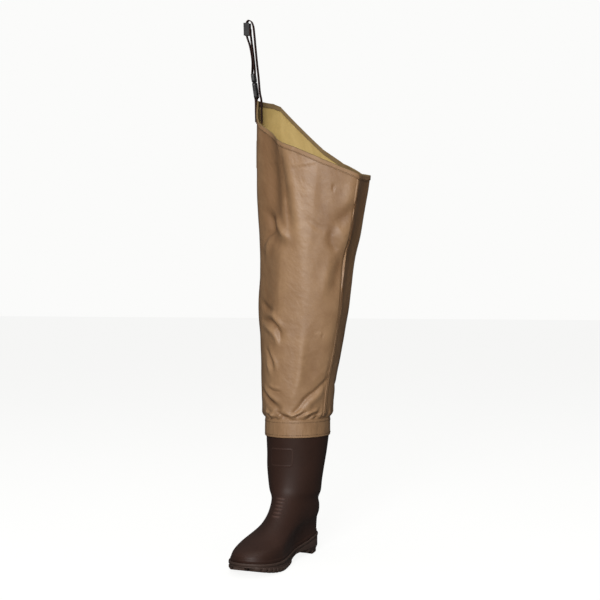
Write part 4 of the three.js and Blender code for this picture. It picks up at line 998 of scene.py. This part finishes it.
OUTER_SEAT = LAYER + LEG_RADIUS / 2 * math.sin(math.radians(STRAP_TWIST)) ** 2
WRAP_RADIUS = BAR_SIZE / 2 + CLEARANCE + WEBBING_THICKNESS / 2
BUCKLE_FOOT = np.array([OUTER_SEAT, BUCKLE_RISE])
BUCKLE_LENGTH = FEMALE_LENGTH + CLEARANCE + MALE_LENGTH - 2 * BAR_SIZE
BUCKLE_WAY = np.array([math.sin(math.radians(BUCKLE_LEAN)), math.cos(math.radians(BUCKLE_LEAN))])
UPPER_BAR = BUCKLE_FOOT + BUCKLE_WAY * BUCKLE_LENGTH
SLIDER_MIDDLE = np.array([0.82 * LOOP_DEPTH, 0.89 * STRAP_RISE])


def strap_place(points):
    """Points of the strap's frame in the wader's frame."""
    lean = math.radians(-STRAP_LEAN)
    turn = math.atan2(STRAP_NORMAL[1], STRAP_NORMAL[0]) + math.radians(STRAP_TWIST)
    tip = np.array([[1, 0, 0], [0, math.cos(lean), -math.sin(lean)], [0, math.sin(lean), math.cos(lean)]])
    swing = np.array([[math.cos(turn), -math.sin(turn), 0], [math.sin(turn), math.cos(turn), 0], [0, 0, 1]])
    return points @ (swing @ tip).T + STRAP_ROOT


def smooth_path(points, steps):
    """A centripetal spline through points in a plane, with its directions."""
    points = np.array(points, float)
    whole = np.concatenate(([2 * points[0] - points[1]], points, [2 * points[-1] - points[-2]]))
    places, ways = [], []
    for k in range(len(points) - 1):
        p0, p1, p2, p3 = whole[k : k + 4]
        d0, d1, d2 = (max(np.linalg.norm(b - a), 1e-6) ** 0.5 for a, b in ((p0, p1), (p1, p2), (p2, p3)))
        start = ((p1 - p0) / d0 - (p2 - p0) / (d0 + d1) + (p2 - p1) / d1) * d1
        end = ((p2 - p1) / d1 - (p3 - p1) / (d1 + d2) + (p3 - p2) / d2) * d1
        last = k == len(points) - 2
        for t in np.linspace(0, 1, steps + 1)[: steps + 1 if last else steps]:
            square, cube = -3 * p1 + 3 * p2 - 2 * start - end, 2 * p1 - 2 * p2 + start + end
            places.append(p1 + start * t + square * t**2 + cube * t**3)
            ways.append(start + 2 * square * t + 3 * cube * t**2)
    return np.array(places), unit(np.array(ways))


def make_ribbon(name, path, node):
    """Webbing along a path in the strap's x-z plane, as rings round its flat section with rounded edges."""
    places, ways = smooth_path(path, 7)
    half, thin = WEBBING_WIDTH / 2, WEBBING_THICKNESS / 2
    across_ = np.linspace(-1, 1, 13) * (half - thin)
    round_edge = [(half - thin + thin * math.sin(a), thin * math.cos(a)) for a in np.linspace(0.3, math.pi - 0.3, 5)]
    section = [(y, thin) for y in across_] + round_edge + [(y, -thin) for y in across_[::-1]]
    section += [(-y, -z) for y, z in round_edge]
    section = np.array(section)
    normal = np.stack((-ways[:, 1], ways[:, 0]), axis=-1)
    x = places[:, None, 0] + normal[:, None, 0] * section[None, :, 1]
    z = places[:, None, 1] + normal[:, None, 1] * section[None, :, 1]
    points = strap_place(stack(x, section[None, :, 0] + 0 * x, z))
    along = lengths(places[:, None], 0)[:, 0]
    ring = np.concatenate(([0], np.cumsum(np.linalg.norm(np.diff(np.concatenate((section, section[:1])), axis=0), axis=1))))
    uv = np.stack(np.broadcast_arrays(ring[None, :], along[:, None]), axis=-1)
    piece = Piece(name)
    piece.grid(points, wrap=True, places=uv)
    for end in (0, -1):
        flat = points[end]
        piece.grid(np.stack((flat[:13], flat[18:31][::-1])), flip=end == 0)
    return piece.build([webbing], [node])


def wrap(middle, radius, angles):
    angles = np.radians(angles)
    return [middle + radius * np.array([math.cos(a), math.sin(a)]) for a in angles]


def belt_path():
    front = SLIDER_MIDDLE[0] + BAR_SIZE / 2 + CLEARANCE + 1.5 * WEBBING_THICKNESS + LOOSE_FIT
    near, far = UPPER_BAR[0] - WRAP_RADIUS, UPPER_BAR[0] + WRAP_RADIUS
    span = SLIDER_MIDDLE[1] - UPPER_BAR[1]
    return [
        (INNER_SEAT, -SEWN_LENGTH), (INNER_SEAT, -SEWN_LENGTH / 2), (INNER_SEAT, 1),
        *[(out * LOOP_DEPTH, up * STRAP_RISE) for out, up in zip(LOOP["out"], LOOP["up"])],
        (front, SLIDER_MIDDLE[1] + SLIDER_HEIGHT / 2 - 2), (front, SLIDER_MIDDLE[1]),
        (front, SLIDER_MIDDLE[1] - SLIDER_HEIGHT / 2),
        (mix(far, front, 0.3), UPPER_BAR[1] + 0.62 * span), (mix(near, far, 0.78), UPPER_BAR[1] + 0.3 * span),
        *wrap(UPPER_BAR, WRAP_RADIUS, [20, -30, -80, -130, -180]),
        (near - 0.1, UPPER_BAR[1] + 9),
        (mix(near, SLIDER_MIDDLE[0] - WRAP_RADIUS, 0.35), UPPER_BAR[1] + 0.45 * span),
        (SLIDER_MIDDLE[0] - WRAP_RADIUS - 0.2, SLIDER_MIDDLE[1] - 9),
        *wrap(SLIDER_MIDDLE, WRAP_RADIUS, [180, 140, 100, 60, 30]),
    ]


def tab_path():
    returned = OUTER_SEAT + WEBBING_THICKNESS + LOOSE_FIT
    return [
        (OUTER_SEAT, -SEWN_LENGTH), (OUTER_SEAT, -SEWN_LENGTH / 2), (OUTER_SEAT, -3), (OUTER_SEAT - 0.1, 1.5),
        *wrap(BUCKLE_FOOT, WRAP_RADIUS, [218, 185, 145, 100, 60, 20, -20]),
        (returned, 1.5), (returned, -SEWN_LENGTH / 2), (returned, -SEWN_LENGTH + 3),
    ]


def sew(piece, points, outward, pitch=3.6, thick=0.42):
    """Stitches along a line: short threads that rise from the cloth and dive into it at both ends."""
    run = lengths(points[:, None], 0)[:, 0]
    way = unit(np.gradient(points, axis=0))
    sideways = unit(np.cross(outward, way))
    places = np.arange(pitch / 2, run[-1] - pitch / 2, pitch)
    t = np.array([-1, -0.7, 0, 0.7, 1])[:, None]
    angle = np.linspace(0, 2 * math.pi, 6, endpoint=False)[None, :]
    round_ = thick * np.sqrt(1.05 - t**2)
    forward, up, side = 0.36 * pitch * t, round_ * np.sin(angle) + 0.2 * (1 - t**2), round_ * np.cos(angle)
    for at in places:
        middle, along, out, beside = (
            np.array([np.interp(at, run, values[:, k]) for k in range(3)]) for values in (points, way, outward, sideways)
        )
        piece.grid(middle + forward[..., None] * along + up[..., None] * out + side[..., None] * beside, wrap=True)


def leg_line(height, turn, lift):
    """Points on the folded leg's outside, lifted, and the way out of the leg there."""
    rise = leg_folds(height, turn)
    near = leg_skin(height, turn, rise + lift)
    return near, unit(leg_skin(height, turn, rise + lift + 1) - near)


def make_stitches():
    """Rows of sewing: two along the seam, one round the cuff and the collar, boxes on the strap."""
    share = np.linspace(0.01, 0.985, 300)
    middle = np.radians(SEAM_AT + SEAM_SWING * (1 - share))
    heights = leg_height(share, middle)
    radius = leg_radius_at(heights)
    seams = Piece("seam_stitches")
    for side in (-2.4, 2.4):
        sew(seams, *leg_line(heights, middle + side / radius, LOOSE_FIT + SEAM_WALL))
    seams.build([thread])
    around = math.radians(SEAM_AT) + np.linspace(0, 2 * math.pi, 721)
    hems = Piece("hem_stitches")
    sew(hems, *leg_line(collar_height(around) - BINDING_DEPTH + 2, around, CLEARANCE + BINDING_WALL))
    for height in (CUFF_TOP - 5, CUFF_BOTTOM + 5):
        ring = leg_skin(height + 0 * around, around, CLEARANCE + CUFF_WALL + 0.1 + 0 * around)
        sew(hems, ring, unit(leg_skin(height + 0 * around, around, 5 + 0 * around) - ring))
    hems.build([thread])
    straps = Piece("strap_stitches")
    half, low, high = WEBBING_WIDTH / 2 - 3, -SEWN_LENGTH + 6, -14
    box = np.array([(-half, low), (half, low), (half, high), (-half, high), (-half, low), (half, high)], float)
    cross = np.array([(half, low), (-half, high)], float)
    thin = WEBBING_THICKNESS / 2
    for x, out in ((INNER_SEAT - thin, -1), (OUTER_SEAT + WEBBING_THICKNESS + LOOSE_FIT + thin, 1)):
        for corners in (box, cross):
            for start, end in zip(corners[:-1], corners[1:]):
                line = start + (end - start) * np.linspace(0, 1, 12)[:, None]
                points = strap_place(stack(x, line[:, 0], line[:, 1]))
                beyond = strap_place(stack(x + out, line[:, 0], line[:, 1]))
                sew(straps, points, beyond - points, 3.0, 0.3)
    straps.build([strap_thread])


make_sole()
make_insole()
make_boot()
leg = make_leg()
sewn_on = [make_binding(), make_inner_seam(), make_label()]
make_cuff()
make_stitches()
make_ribbon("belt_strap", belt_path(), "belt_webbing")
make_ribbon("buckle_tab_strap", tab_path(), "buckle_tab")
for node, plastic_look in (("buckle_female", acetal), ("buckle_male", acetal), ("strap_slider", slider_acetal)):
    for material_slot in nodes[node].material_slots:
        material_slot.material = plastic_look
